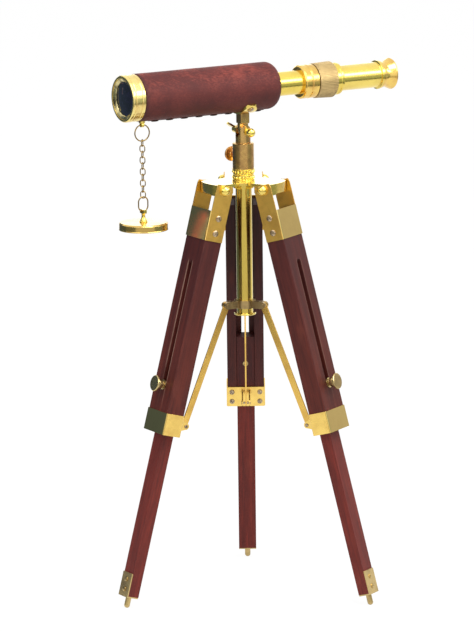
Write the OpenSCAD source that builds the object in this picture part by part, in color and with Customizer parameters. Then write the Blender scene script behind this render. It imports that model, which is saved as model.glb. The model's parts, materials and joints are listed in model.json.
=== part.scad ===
/* [Telescope] */
// Height of the telescope's axis over the top of the head plate
axis_rise = 74.3; // [66:0.5:90]
// Outer radius of the leather covered barrel
cover_r = 19.1; // [18:0.1:22]
// Thickness of the leather
cover_t = 1.2; // [0.8:0.1:2]
// Wall of the brass tube under the leather
barrel_wall = 0.9; // [0.6:0.1:1.4]
// Length of the covered barrel in front of the saddle
cover_front = 98; // [90:1:120]
// Length of the covered barrel behind the saddle
cover_rear = 28.5; // [24:0.5:40]
// Radius of the cover's rounded rear corner
cover_round = 8; // [3:0.5:9]
// Length of the objective cell in front of the leather
cell_len = 11.25; // [9:0.25:16]
// Radius of the objective cell
cell_r = 18.65; // [17.5:0.05:20]
// Clear radius of the objective
objective_r = 13.6; // [11:0.1:14.5]
// Thickness of the objective lens at its edge
lens_edge = 4.2; // [3.6:0.1:4.6]
// Length of the draw tube's bush inside the barrel
bush_len = 9; // [6:0.5:12]
// Radius of the draw tube
draw_r = 9.7; // [9:0.1:10.2]
// Wall of the draw tube
draw_wall = 0.8; // [0.6:0.1:1.2]
// Length of draw tube left outside the leather
draw_out = 23.1; // [22.5:0.1:40]
// Length of draw tube inside the barrel
draw_in = 72; // [62:1:90]

/* [Eyepiece] */
// Radius of the collar at the end of the draw tube
collar_r = 13.5; // [13.1:0.1:14]
// Length of the collar
collar_len = 13.1; // [10:0.1:16]
// Front radius of the knurled focusing ring
knurl_r = 14; // [13.6:0.1:15]
// Growth of the knurled ring's radius towards the eye
knurl_flare = 0.6; // [0:0.1:1]
// Length of the knurled band
knurl_len = 16.6; // [13:0.1:18]
// Ribs round the focusing ring
knurl_count = 72; // [48:4:84]
// Depth of the grooves between the ribs
knurl_depth = 0.2; // [0.1:0.05:0.3]
// Radius of the plain band behind the ribs
band_r = 12.9; // [12.5:0.1:13.2]
// Length of the plain band
band_len = 6.5; // [4:0.1:9]
// Radius of the sliding eyepiece tube
eye_r = 10.3; // [9.8:0.1:10.6]
// Length of the eyepiece tube outside the band
eye_out = 38.3; // [30:0.1:50]
// Radius of the eyecup's lip
eyecup_r = 12.7; // [11.8:0.1:13.5]
// Length of the eyecup behind the eyepiece tube
eyecup_len = 12.3; // [11.5:0.1:16]

/* [Lens cap and chain] */
// Distance of the chain's boss in front of the saddle
boss_x = 92; // [84:1:94]
// Mean radius of the split ring
split_ring_r = 6.5; // [5:0.1:8]
// Wire of the split ring and of the oval ring
ring_wire = 1; // [0.8:0.1:1.3]
// Links in the chain
link_count = 10; // [6:1:14]
// Step from one link to the next
link_pitch = 4.6; // [4.2:0.1:5.2]
// Width of a link
link_w = 4.8; // [4.4:0.1:5.6]
// Wire of a link
link_wire = 0.8; // [0.6:0.05:0.9]
// Width of the oval ring
oval_w = 9.4; // [8:0.2:11]
// Height of the oval ring
oval_h = 12.6; // [11:0.2:15]
// Height of the cap's finial
finial_h = 10.2; // [9:0.1:13]
// Height of the lens cap's band
cap_h = 6; // [5.6:0.1:9]
// Wall of the lens cap
cap_wall = 0.6; // [0.5:0.05:1]

/* [Mount] */
// Width of the saddle along the barrel
saddle_w = 12.6; // [11:0.2:16]
// Thickness of the saddle's curved plate
saddle_t = 1.6; // [1.2:0.1:2.4]
// Half angle that the saddle wraps round the barrel
saddle_wrap = 52; // [48:1:60]
// Angle of the saddle's screws from its middle
saddle_screw_turn = 38; // [34:1:42]
// Height of the tilt bolt over the top of the head plate
tilt_z = 39.5; // [38.5:0.5:42]
// Width of the swivel block and its tongue's head
block_w = 8; // [7:0.2:11]
// Thickness of the tongue inside the fork
tongue_t = 4; // [3:0.2:5]
// Radius of the swivel stem
stem_r = 6; // [5.4:0.1:6.6]
// Radius of the tilt bolt
tilt_bolt_r = 1.7; // [1.3:0.1:2]
// Span of the wing nut
wing_span = 15; // [12:0.5:20]
// Turn of the wing nut as it stands
wing_turn = 42; // [0:1:90]
// Outer radius of the socket
socket_r = 8.6; // [8:0.1:9.2]
// Top of the socket over the head plate
socket_top = 30; // [26:0.5:33]
// Outer radius of the knurled ring nut
nut_r = 9.2; // [9:0.1:10.4]
// Height of the knurled ring nut
nut_h = 9.3; // [8:0.1:12]
// Beads in each row round the ring nut
nut_beads = 20; // [16:2:24]
// Radius of the locking screw's disc
lock_disc_r = 6; // [4.5:0.1:7]
// Height of the locking screw over the head plate
lock_z = 18.6; // [15:0.2:21]

/* [Head and column] */
// Radius of the head casting
plate_r = 34.4; // [32.5:0.1:38]
// Thickness of the casting's plate
plate_t = 2.4; // [2:0.1:3.4]
// Half width of a lobe
lobe_hw = 14.6; // [12.5:0.1:15]
// Radius of the fillets between the lobes
lobe_fillet = 8; // [5:0.5:10]
// Height of the lugs, plate included
lug_h = 9.2; // [8.6:0.1:11]
// Distance of the leg pivots from the column's axis
pivot_r = 26.5; // [25:0.1:28]
// Depth of the leg pivots under the plate's top
pivot_drop = 4.4; // [4:0.1:5]
// Radius of the hub under the plate
hub_r = 8.2; // [7.6:0.1:9]
// Depth of the hub under the plate's top
hub_h = 6.4; // [5:0.1:9]
// Radius of the column
column_r = 6.5; // [5.6:0.1:7]
// Wall of the column tube
column_wall = 1; // [0.8:0.1:1.5]
// Clearance between the brace collar at rest and the column's end flange
flange_gap = 4; // [2.5:0.1:6]
// Radius of the column's end flange
flange_r = 8.8; // [8:0.1:9.6]
// Outer radius of the sliding brace collar
collar_hub_r = 8.4; // [8:0.1:9.2]
// Height of the brace collar
collar_hub_h = 6.4; // [5:0.1:7]
// Distance of the struts' upper pivots from the axis
strut_top_r = 17.2; // [16.5:0.1:17.8]
// Depth of the struts' upper pivots under the plate's top
strut_top_drop = 100.8; // [99:0.1:102]

/* [Legs] */
// Splay of the legs from the upright
splay = 15; // [13:0.5:18]
// Length of a leg from its pivot to the foot's tip
leg_len = 344; // [336:1:352]
// Width of the wooden channel
wood_w = 30; // [29.8:0.1:33]
// Thickness of the wooden channel
wood_t = 15.4; // [14.8:0.1:17]
// Web between the channel's groove and its outer face
web_t = 5.2; // [4:0.1:6]
// Width of the groove
groove_w = 14.9; // [13.5:0.1:16]
// Start of the wood below the pivot
wood_top = 19; // [17.5:0.5:24]
// End of the wood below the pivot
wood_end = 199; // [196:1:204]
// Width of the slot for the clamp bolt
slot_w = 6; // [5.2:0.1:7]
// Upper end of the slot below the pivot
slot_top = 60; // [50:1:70]
// Thickness of the brass sheet
sheet = 0.8; // [0.6:0.05:1]
// Length of the top bracket's outer plate
bracket_len = 24; // [18:1:32]
// Start of the lower ferrule below the pivot
ferrule_top = 183; // [178:1:186]
// Half width of the two ears on the ferrule
ear_hw = 3.4; // [3:0.1:4.2]
// Width of a strut
strut_w = 5.5; // [4.8:0.1:6]
// Thickness of a strut
strut_t = 1.2; // [0.9:0.1:1.5]
// Distance of the struts' lower pivots below the legs' pivots
strut_foot_u = 192; // [189:0.5:194]
// Distance of the struts' lower pivots inside the legs' midline
strut_foot_w = 19; // [17.5:0.5:20.5]
// Width of the sliding lower leg
slider_w = 14.3; // [12.5:0.1:14.4]
// Thickness of the sliding lower leg
slider_t = 9.4; // [8:0.1:9.6]
// Start of the lower leg below the pivot
slider_top = 138; // [130:1:145]
// Distance of the clamp bolt below the pivot
clamp_u = 162; // [156:0.5:164]
// Radius of the clamp knob's disc
knob_r = 6.5; // [5.5:0.1:8]
// Height of the clamp knob over the wood
knob_h = 9; // [8:0.2:12]
// Radius of the foot's pin
pin_r = 2.3; // [1.8:0.1:2.8]
// Length of the foot's pin below the bracket
pin_len = 10; // [8:0.5:14]
// Radius of the leg pivot bolts
pivot_bolt_r = 1.8; // [1.4:0.1:2.2]
// Radius of the collar under a pivot bolt's domed head
bolt_head_r = 4.5; // [3.8:0.1:4.8]
// Distance between the two screws of a bracket's strap
strap_screw_pitch = 12; // [9:0.5:14]

/* [Fits] */
// Gap between turning or sliding pieces that don't rub
gap = 0.3; // [0.2:0.05:0.4]
// Running fit of a shaft in its bore
fit = 0.05; // [0.03:0.01:0.1]
// Play round the lower pin in a strut's slot
slot_play = 0.55; // [0.4:0.05:0.8]

/* [Hidden] */
$fn = 64;
legs = 3;

// The lower leg lies in the groove, so its middle is a little inside the leg's midline
web_w = wood_t/2 - web_t;
slider_w_out = web_w - 0.2;
slider_mid_w = slider_w_out - slider_t/2;

// Heights over the floor; the tip of each foot's pin rests on it
plate_top = (leg_len - pin_r)*cos(splay) - slider_mid_w*sin(splay) + pin_r + pivot_drop;
axis_z = plate_top + axis_rise;
bolt_z = plate_top + tilt_z;
pivot_z = plate_top - pivot_drop;
strut_top_z = plate_top - strut_top_drop;
column_len = strut_top_drop + collar_hub_h/2 + flange_gap;

// Stations along the telescope, the objective at +X
rear_x = -cover_rear;
cell_x = cover_front + cell_len;
barrel_r = cover_r - cover_t;
bore_r = barrel_r - barrel_wall;
collar_x = rear_x - draw_out;
knurl_x = collar_x - collar_len - gap;
band_x = knurl_x - knurl_len;
band_end = band_x - band_len;
eye_end = band_end - eye_out;
spigot_r = eye_r + gap + 1.1;
spigot_len = knurl_len - 1.2;

// The chain hangs from the boss: each piece passes round the wire over it
hang_gap = gap + 0.05;
boss_r = 2.5;
boss_drop = 2.8;
hang_z = axis_z - cover_r - boss_drop;
split_ring_z = hang_z - split_ring_r;
swing_z = hang_z - 2*split_ring_r;
link_gap = 0.2;
link_h = link_pitch + 2*link_wire + link_gap;
link_z = swing_z + (ring_wire + link_wire)/2 + hang_gap - (link_h - link_wire)/2;
last_wire_z = link_z - (link_count - 1)*link_pitch - (link_h - link_wire)/2;
oval_z = last_wire_z + (ring_wire + link_wire)/2 + link_gap - (oval_h - ring_wire)/2;
cap_hang_z = oval_z - (oval_h - ring_wire)/2;
cap_top_z = cap_hang_z + 1.6 - finial_h;

// The leg in its own frame: -Z runs down the leg from the pivot, +X looks outwards
slider_end = leg_len - pin_len;
ferrule_len = wood_end + 1.5 - ferrule_top;
strap_hw = wood_w/2;
ear_t = 1;
strut_pin_r = 0.9;
screw_r = 0.8;

// The strut's lower pivot in the standing tripod, and the length between its pivots
strut_foot_r = pivot_r + strut_foot_u*sin(splay) - strut_foot_w*cos(splay);
strut_foot_z = pivot_z - strut_foot_u*cos(splay) - strut_foot_w*sin(splay);
strut_lean = atan2(strut_foot_r - strut_top_r, strut_top_z - strut_foot_z);
strut_len = norm([strut_foot_r - strut_top_r, strut_foot_z - strut_top_z]);

brass = "#c8a038";
bright = "#e0bc58";
leather = "#6a4128";
wood = "#4e2620";
matte = "#a58f5e";
glass = "#8ea6a8";

// Points along an arc
function arc(cx, cy, r, a0, a1, n = 8) =
  [for (i = [0:n]) let (a = a0 + (a1 - a0)*i/n) [cx + r*cos(a), cy + r*sin(a)]];

// A revolved piece on the telescope's axis, its profile given as [radius, station]
module turned(points) {
  translate([0, 0, axis_z]) rotate([0, 90, 0]) rotate_extrude() polygon(points);
}

// A cylinder on the telescope's axis
module bar_x(x0, x1, r) {
  translate([x0, 0, axis_z]) rotate([0, 90, 0]) cylinder(r = r, h = x1 - x0);
}

// A glass with the same bulge on both faces
module lens(x, r, edge, bulge, rim = 0) {
  open = r - rim;
  ball = (open*open + bulge*bulge)/(2*bulge);
  half = asin(open/ball);
  centre = edge/2 + bulge - ball;
  turned(concat(
    rim > 0 ? [[r, x + edge/2]] : [],
    [for (p = arc(0, centre, ball, 90 - half, 90, 6)) [max(p[0], 0), x + p[1]]],
    [for (p = arc(0, -centre, ball, 270, 270 + half, 6)) [max(p[0], 0), x + p[1]]],
    rim > 0 ? [[r, x - edge/2]] : []));
}

// A wood screw with a slotted round head, its face on the plane z = 0 and its shank below
module screw(head, shank, turn = 20) {
  difference() {
    union() {
      intersection() {
        cylinder(r = head, h = 1);
        translate([0, 0, 0.9 - 3*head]) sphere(r = 3*head);
      }
      translate([0, 0, -shank]) cylinder(r = screw_r, h = shank);
    }
    rotate(turn) translate([-2*head, -0.2, 0.45]) cube([4*head, 0.4, 1]);
  }
}

// A round wire link in the XZ plane
module link(w, h, wire) {
  bow = (w - wire)/2;
  for (s = [0, 180]) rotate([0, s, 0]) translate([0, 0, (h - w)/2]) rotate([90, 0, 0])
    rotate_extrude(angle = 180) translate([bow, 0]) circle(d = wire, $fn = 24);
  for (x = [-bow, bow]) translate([x, 0, -(h - w)/2]) cylinder(d = wire, h = h - w, $fn = 24);
}

// Telescope

lens_seat_r = objective_r + 1.4;
seat_depth = 2.3;
ring_seat_r = objective_r + 2.8;

module barrel_tube() {
  color(brass) difference() {
    turned([[bore_r, rear_x + cover_round], [barrel_r, rear_x + cover_round],
            [barrel_r, cover_front], [bore_r, cover_front]]);
    saddle_screw_holes();
  }
}

module leather_cover() {
  r = cover_round;
  t = cover_t;
  color(leather) difference() {
    turned(concat([[cover_r, cover_front]],
                  arc(cover_r - r, rear_x + r, r, 0, -90, 10),
                  [[draw_r + gap, rear_x], [draw_r + gap, rear_x + t]],
                  arc(barrel_r - (r - t), rear_x + r, r - t, -90, 0, 10),
                  [[barrel_r, cover_front]]));
    saddle_screw_holes();
    translate([boss_x, 0, axis_z - cover_r - 1]) cylinder(r = boss_r, h = cover_t + 3);
  }
}

module objective_cell() {
  lip = 0.7;
  color(brass) turned([
    [objective_r, cover_front - 6], [bore_r, cover_front - 6], [bore_r, cover_front],
    [cell_r, cover_front], [cell_r, cover_front + 2.2], [cell_r - 0.35, cover_front + 2.5],
    [cell_r - 0.35, cover_front + 2.9], [cell_r, cover_front + 3.2], [cell_r, cell_x - 3.2],
    [cell_r - 0.35, cell_x - 2.9], [cell_r - 0.35, cell_x - 2.5], [cell_r, cell_x - 2.2],
    [cell_r, cell_x - lip], [cell_r - lip, cell_x], [ring_seat_r, cell_x],
    [ring_seat_r, cell_x - seat_depth], [lens_seat_r, cell_x - seat_depth],
    [lens_seat_r, cell_x - seat_depth - lens_edge],
    [objective_r, cell_x - seat_depth - lens_edge]]);
}

module objective_lens() {
  color(glass) lens(cell_x - seat_depth - lens_edge/2, lens_seat_r, lens_edge, 1.2, lens_seat_r - objective_r + 0.1);
}

module lens_retaining_ring() {
  color(bright) turned([[objective_r, cell_x - seat_depth], [ring_seat_r, cell_x - seat_depth],
    [ring_seat_r, cell_x - 0.6], [ring_seat_r - 0.4, cell_x - 0.4],
    [objective_r + 0.3, cell_x - 1.5], [objective_r, cell_x - 1.8]]);
}

module rear_bush() {
  r = cover_round - cover_t;
  color(brass) turned(concat(
    [[draw_r + fit, rear_x + cover_t]],
    arc(barrel_r - r, rear_x + cover_round, r, -90, 0, 10),
    [[bore_r, rear_x + cover_round], [bore_r, rear_x + cover_round + bush_len],
     [draw_r + fit, rear_x + cover_round + bush_len]]));
}

module draw_tube() {
  back = collar_x - collar_len;
  front = rear_x + draw_in;
  guide = bore_r - gap;
  color(brass) turned([[draw_r - draw_wall, back], [draw_r, back], [draw_r, front - 7],
    [guide, front - 7], [guide, front - 3], [draw_r, front - 3], [draw_r, front],
    [draw_r - draw_wall, front]]);
}

module erector_lens() {
  color(glass) lens(rear_x + draw_in - 9, draw_r - draw_wall, 2, 1);
}

module focus_collar() {
  back = collar_x - collar_len;
  color(brass) turned([[draw_r, collar_x], [collar_r - 1.2, collar_x], [collar_r, collar_x - 1],
    [collar_r, collar_x - 6], [collar_r - 0.6, collar_x - 6.4], [collar_r - 0.6, collar_x - 6.9],
    [collar_r, collar_x - 7.3], [collar_r, back + 0.6], [collar_r - 0.4, back],
    [spigot_r, back], [spigot_r, back - spigot_len], [eye_r + gap, back - spigot_len],
    [eye_r + gap, back], [draw_r, back]]);
}

module focus_ring() {
  shoulder = collar_x - collar_len - spigot_len - gap;
  top = knurl_r + knurl_flare;
  lean = atan2(knurl_flare, knurl_len);
  color(matte) difference() {
    turned([[spigot_r + fit, knurl_x], [knurl_r - 0.4, knurl_x], [knurl_r, knurl_x - 0.6],
      [top, band_x + 0.6], [top - 0.5, band_x], [band_r, band_x], [band_r, band_x - 3],
      [band_r - 0.4, band_x - 3.3], [band_r - 0.4, band_x - 3.9], [band_r, band_x - 4.2],
      [band_r, band_end + 0.6], [band_r - 0.6, band_end], [eye_r + fit, band_end],
      [eye_r + fit, shoulder], [spigot_r + fit, shoulder]]);
    translate([knurl_x, 0, axis_z]) for (i = [0:knurl_count - 1])
      rotate([i*360/knurl_count, 0, 0]) translate([0, 0, knurl_r + 0.35 - knurl_depth])
        rotate([0, lean - 90, 0]) translate([0, 0, -1]) cylinder(r = 0.35, h = knurl_len + 2, $fn = 16);
  }
}

module eyepiece_tube() {
  t = 0.9;
  color(brass) turned([[eye_r - t, eye_end], [eye_r + 1.4, eye_end], [eye_r + 1.4, eye_end + 1.6],
    [eye_r, eye_end + 2], [eye_r, knurl_x - 6], [eye_r - t, knurl_x - 6]]);
}

module eyecup() {
  seat = eye_r - 0.9;
  color(brass) turned([[6.2, eye_end + 3], [seat, eye_end + 3], [seat, eye_end],
    [eye_r + 1, eye_end], [eye_r + 0.9, eye_end - 1.4], [eye_r + 0.3, eye_end - 3],
    [eye_r, eye_end - 4.8], [eye_r + 0.4, eye_end - 6.8], [eyecup_r - 0.9, eye_end - eyecup_len + 3],
    [eyecup_r, eye_end - eyecup_len + 1], [eyecup_r - 0.3, eye_end - eyecup_len],
    [eyecup_r - 1.2, eye_end - eyecup_len], [eyecup_r - 2.6, eye_end - eyecup_len + 2],
    [4, eye_end - 5.6], [4, eye_end - 4.4], [6.2, eye_end - 4.4]]);
}

module eye_lens() {
  color(glass) lens(eye_end - 3, 6.2, 1.2, 0.8);
}

// Lens cap and its chain

module chain_boss() {
  color(brass) translate([boss_x, 0, axis_z - cover_r]) difference() {
    union() {
      translate([0, 0, -1.4]) cylinder(r = boss_r, h = 1.4 + cover_t + 1.5);
      translate([0, 0, -boss_drop]) intersection() {
        rotate([0, 90, 0]) cylinder(r = boss_r - 0.5, h = 2.4, center = true);
        cube([2.4, 2*boss_r, 4], center = true);
      }
      translate([-1.2, -1.2, -boss_drop]) cube([2.4, 2.4, boss_drop]);
    }
    translate([0, 0, -boss_drop]) rotate([0, 90, 0])
      cylinder(r = ring_wire/2 + 0.45, h = 4*boss_r, center = true);
    translate([0, 0, cover_r]) rotate([0, 90, 0]) cylinder(r = barrel_r, h = 4*boss_r, center = true);
  }
}

module split_ring() {
  color(bright) translate([boss_x, 0, split_ring_z]) rotate([90, 0, 0])
    rotate_extrude() translate([split_ring_r, 0]) circle(d = ring_wire, $fn = 24);
}

module chain_links() {
  color(bright) for (i = [0:link_count - 1])
    translate([boss_x, 0, link_z - i*link_pitch]) rotate(45 - 90*(i % 2))
      link(link_w, link_h, link_wire);
}

module cap_ring() {
  color(bright) translate([boss_x, 0, oval_z]) link(oval_w, oval_h, ring_wire);
}

module cap_finial() {
  eye = 3.2;
  base = 3.6;
  neck = finial_h - eye - base;
  color(brass) translate([boss_x, 0, cap_top_z]) {
    rotate_extrude() polygon(concat([[0, 0], [eye, 0], [eye, 0.7], [eye - 0.5, 1.1],
      [eye - 0.5, 1.7], [eye - 1, 2.3]], [[1.6, base], [1.4, base + neck/2], [1.6, base + neck],
      [0, base + neck]]));
    translate([0, 0, finial_h - 1.6]) rotate([0, 90, 0]) difference() {
      intersection() {
        union() {
          cylinder(r = 1.6, h = 2.8, center = true);
          translate([0, 0, 0]) cube([3.2, 2*eye - 1.6, 2.8], center = true);
          for (y = [-1, 1]) translate([0, y*(eye - 0.8), 0]) cylinder(r = 1.6, h = 2.8, center = true);
        }
        cube([3.2, 2*eye, 3], center = true);
      }
      cylinder(r = ring_wire/2 + 0.45, h = 6, center = true);
    }
  }
}

module lens_cap() {
  inner = cell_r + 0.15;
  outer = inner + cap_wall;
  color(brass) translate([boss_x, 0, cap_top_z - cap_h]) rotate_extrude()
    polygon([[inner, 0], [outer + 0.2, 0], [outer + 0.2, 0.6], [outer, 0.8], [outer, cap_h - 1],
      [outer - 1, cap_h], [0, cap_h], [0, cap_h - 0.8], [inner, cap_h - 0.8]]);
}

// Saddle and tilting head

module saddle_screw_places() {
  for (s = [-1, 1]) translate([0, 0, axis_z]) rotate([s*saddle_screw_turn, 0, 0])
    translate([0, 0, -cover_r - saddle_t]) mirror([0, 0, 1]) children();
}

module saddle_screw_holes() {
  saddle_screw_places() translate([0, 0, -5]) cylinder(r = screw_r, h = 8);
}

module saddle_plate() {
  ear = (cover_r + saddle_t)*sin(saddle_wrap) - saddle_w/2;
  color(brass) difference() {
    intersection() {
      translate([0, 0, axis_z]) rotate([0, 90, 0]) rotate(-saddle_wrap)
        rotate_extrude(angle = 2*saddle_wrap) translate([cover_r, -saddle_w/2])
          square([saddle_t, saddle_w]);
      translate([0, 0, axis_z - 2*cover_r]) linear_extrude(2*cover_r) {
        square([saddle_w, 2*ear], center = true);
        for (s = [-1, 1]) translate([0, s*ear]) circle(d = saddle_w);
      }
    }
    saddle_screw_holes();
  }
}

module saddle_screws() {
  color(bright) saddle_screw_places() translate([0, 0, 0.06]) screw(2.7, 3.6, 70);
}

module tilt_tongue() {
  b = block_w/2;
  color(brass) difference() {
    union() {
      translate([-b, -b, bolt_z + 6.2]) cube([block_w, block_w, axis_rise - tilt_z - 6.2 - cover_r + 2]);
      translate([-b, -tongue_t/2, bolt_z]) cube([block_w, tongue_t, 6.4]);
      translate([0, tongue_t/2, bolt_z]) rotate([90, 0, 0]) cylinder(r = b, h = tongue_t);
    }
    bar_x(-20, 20, cover_r + saddle_t);
    translate([0, 10, bolt_z]) rotate([90, 0, 0]) cylinder(r = tilt_bolt_r + fit, h = 20);
  }
}

module tilt_bolt() {
  color(bright) translate([0, 0, bolt_z]) {
    translate([0, stem_r, 0]) rotate([90, 0, 0])
      cylinder(r = tilt_bolt_r, h = 2*stem_r + 9);
    translate([0, stem_r, 0]) rotate([-90, 0, 0]) {
      cylinder(r = 2.8, h = 1.2);
      cylinder(r = 1.9, h = 5);
    }
    translate([0, stem_r + 6.6, 0]) sphere(r = 3.6);
  }
}

module wing_nut() {
  hub = 3;
  color(brass) translate([0, -stem_r - gap, bolt_z]) rotate([90, 0, 0]) rotate(wing_turn) difference() {
    union() {
      cylinder(r = hub + 0.6, h = 1.4);
      cylinder(r = hub, h = 6.5);
      for (s = [-1, 1]) translate([0, 0.8, 0]) rotate([90, 0, 0]) linear_extrude(1.6) {
        polygon([[0, 1.4], [s*hub, 1.4], [s*(wing_span/2 - 1), 6.2], [s*(wing_span/2), 9],
          [s*(wing_span/2 - 3.6), 9.6], [s*hub, 6], [0, 6]]);
        translate([s*(wing_span/2 - 2.2), 8.8]) circle(r = 2.2);
      }
    }
    translate([0, 0, -1]) cylinder(r = tilt_bolt_r + fit, h = 12);
  }
}

module swivel_stem() {
  slot = tongue_t/2 + gap;
  slot_floor = bolt_z - block_w/2 - gap - 0.2;
  color(brass) difference() {
    union() {
      translate([0, 0, plate_top + 4]) cylinder(r = stem_r, h = slot_floor - plate_top - 2.4);
      intersection() {
        translate([0, 0, plate_top + socket_top]) cylinder(r = stem_r, h = 30);
        union() {
          translate([-4.8, -stem_r, plate_top + socket_top + 1]) cube([9.6, 2*stem_r, bolt_z - plate_top - socket_top - 1]);
          translate([0, stem_r, bolt_z]) rotate([90, 0, 0]) cylinder(r = 4.8, h = 2*stem_r);
        }
      }
    }
    translate([-10, -slot, slot_floor]) cube([20, 2*slot, 30]);
    translate([0, 10, bolt_z]) rotate([90, 0, 0]) cylinder(r = tilt_bolt_r, h = 20);
  }
}

module socket() {
  neck = socket_r - 1;
  color(brass) difference() {
    translate([0, 0, plate_top]) rotate_extrude() polygon([[0, 0], [neck, 0], [neck, nut_h],
      [socket_r, nut_h], [socket_r, socket_top - 0.6], [socket_r - 0.6, socket_top],
      [stem_r + fit, socket_top], [stem_r + fit, 3.8], [0, 3.8]]);
    translate([0, 0, plate_top + lock_z]) rotate([90, 0, 0]) cylinder(r = 1.5 + fit, h = 20);
  }
}

module socket_thumb_screw() {
  face = -socket_r - gap;
  color(bright) translate([0, 0, plate_top + lock_z]) rotate([90, 0, 0]) {
    translate([0, 0, stem_r + gap]) cylinder(r = 1.5, h = 10);
    translate([0, 0, -face]) rotate_extrude() polygon([[0, 0], [2.6, 0], [2.6, 1], [1.9, 2],
      [1.9, 7.6], [3, 8.4], [lock_disc_r - 0.4, 8.8], [lock_disc_r, 9.2], [lock_disc_r, 10.4],
      [lock_disc_r - 0.5, 11], [0, 11]]);
  }
}

module knurled_ring_nut() {
  core = nut_r - 0.7;
  row = nut_h/2;
  bead = PI*nut_r/nut_beads*0.9;
  color(brass) union() {
    translate([0, 0, plate_top]) rotate_extrude() polygon([[socket_r - 1, 0], [nut_r, 0],
      [nut_r, 0.5], [core, 0.8], [core, row - 0.3], [nut_r - 0.2, row], [core, row + 0.3],
      [core, nut_h - 0.8], [nut_r, nut_h - 0.5], [nut_r, nut_h], [socket_r - 1, nut_h]]);
    for (k = [0, 1], i = [0:nut_beads - 1]) rotate((i + k/2)*360/nut_beads)
      translate([core - 0.3, 0, plate_top + row*(k + 0.5)]) rotate([0, 90, 0])
        cylinder(r1 = bead, r2 = bead*0.55, h = 1, $fn = 16);
  }
}

// Head casting, column and brace collar

module for_legs() {
  for (n = [0:legs - 1]) rotate(n*360/legs) children();
}

module plate_outline() {
  corner = lobe_hw/sin(60);
  mid = corner + lobe_fillet/sin(60);
  tx = corner + lobe_fillet*tan(30)*cos(60);
  ty = lobe_fillet*tan(30)*sin(60);
  intersection() {
    circle(r = plate_r);
    for_legs() translate([0, -lobe_hw]) square([2*plate_r, 2*lobe_hw]);
  }
  for_legs() rotate(60) difference() {
    polygon([[0.6*corner, -ty], [tx, -ty], [mid, 0], [tx, ty], [0.6*corner, ty]]);
    translate([mid, 0]) circle(r = lobe_fillet);
  }
}

module head_plate() {
  edge = 2.5;
  lug_in = 2*pivot_r - plate_r - 0.5;
  color(brass) difference() {
    union() {
      translate([0, 0, plate_top - plate_t]) linear_extrude(plate_t) plate_outline();
      translate([0, 0, plate_top - hub_h]) cylinder(r = hub_r, h = hub_h);
      intersection() {
        translate([0, 0, plate_top - lug_h]) cylinder(r = plate_r, h = lug_h);
        for_legs() translate([0, lobe_hw, plate_top]) rotate([90, 0, 0]) linear_extrude(2*lobe_hw)
          polygon(concat([[lug_in, 0], [lug_in, -lug_h + 2], [lug_in + 2, -lug_h]],
            arc(plate_r - edge, edge - lug_h, edge, -90, 0, 6), [[plate_r, 0]]));
      }
    }
    for_legs() translate([pivot_r, 2*lobe_hw, pivot_z]) rotate([90, 0, 0])
      cylinder(r = pivot_bolt_r + fit, h = 4*lobe_hw);
    translate([0, 0, plate_top - hub_h - 1]) cylinder(r = column_r, h = hub_h - plate_t + 1);
  }
}

module column_tube() {
  color(brass) translate([0, 0, plate_top - column_len]) difference() {
    cylinder(r = column_r, h = column_len - plate_t);
    translate([0, 0, -1]) cylinder(r = column_r - column_wall, h = column_len + 2);
  }
}

module column_flange() {
  inner = column_r - column_wall;
  color(brass) translate([0, 0, plate_top - column_len]) rotate_extrude()
    polygon([[0, -1.6], [flange_r - 0.4, -1.6], [flange_r, -1.2], [flange_r, -0.3],
      [flange_r - 0.3, 0], [inner, 0], [inner, 4], [0, 4]]);
}

module brace_collar() {
  arm = 3;
  eye = 2.9;
  slot = strut_t/2 + gap;
  color(brass) translate([0, 0, strut_top_z]) difference() {
    union() {
      translate([0, 0, -collar_hub_h/2]) cylinder(r = collar_hub_r, h = collar_hub_h);
      for_legs() {
        translate([0, -arm, -eye]) cube([strut_top_r, 2*arm, 2*eye]);
        translate([strut_top_r, arm, 0]) rotate([90, 0, 0]) cylinder(r = eye, h = 2*arm);
      }
    }
    translate([0, 0, -10]) cylinder(r = column_r + fit, h = 20);
    for_legs() {
      translate([strut_top_r - strut_w/2 - gap, -slot, -10]) cube([20, 2*slot, 20]);
      translate([strut_top_r, 10, 0]) rotate([90, 0, 0]) cylinder(r = strut_pin_r, h = 20);
    }
  }
}

module brace_pins() {
  arm = 3;
  color(bright) for_legs() translate([strut_top_r, 0, strut_top_z]) rotate([90, 0, 0]) {
    cylinder(r = strut_pin_r, h = 2*arm, center = true);
    for (s = [0, 180]) rotate([s, 0, 0]) translate([0, 0, arm]) cylinder(r = 1.5, h = 0.5);
  }
}

// Legs: each module is drawn in the leg's own frame

module leg_place(n) {
  rotate((n - 1)*360/legs) translate([pivot_r, 0, pivot_z]) rotate([0, -splay, 0]) children();
}

// A plate square to the pivot's axis between two offsets along it; its outline is [outwards, down]
module side_plate(v0, v1) {
  translate([0, v1, 0]) rotate([90, 0, 0]) linear_extrude(v1 - v0) mirror([0, 1]) children();
}

module strap_screw_places() {
  for (s = [0, 180], u = [wood_top + 4, wood_top + 4 + strap_screw_pitch]) translate([0, 0, -u]) rotate([90, 0, s])
    translate([0, 0, strap_hw + sheet]) children();
}

module ferrule_screw_places() {
  for (v = [-1, 1], u = [4.5, ferrule_len - 4.5])
    translate([-wood_t/2 - sheet, v*(strap_hw - 3.6), -ferrule_top - u]) rotate([0, -90, 0]) children();
}

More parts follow.
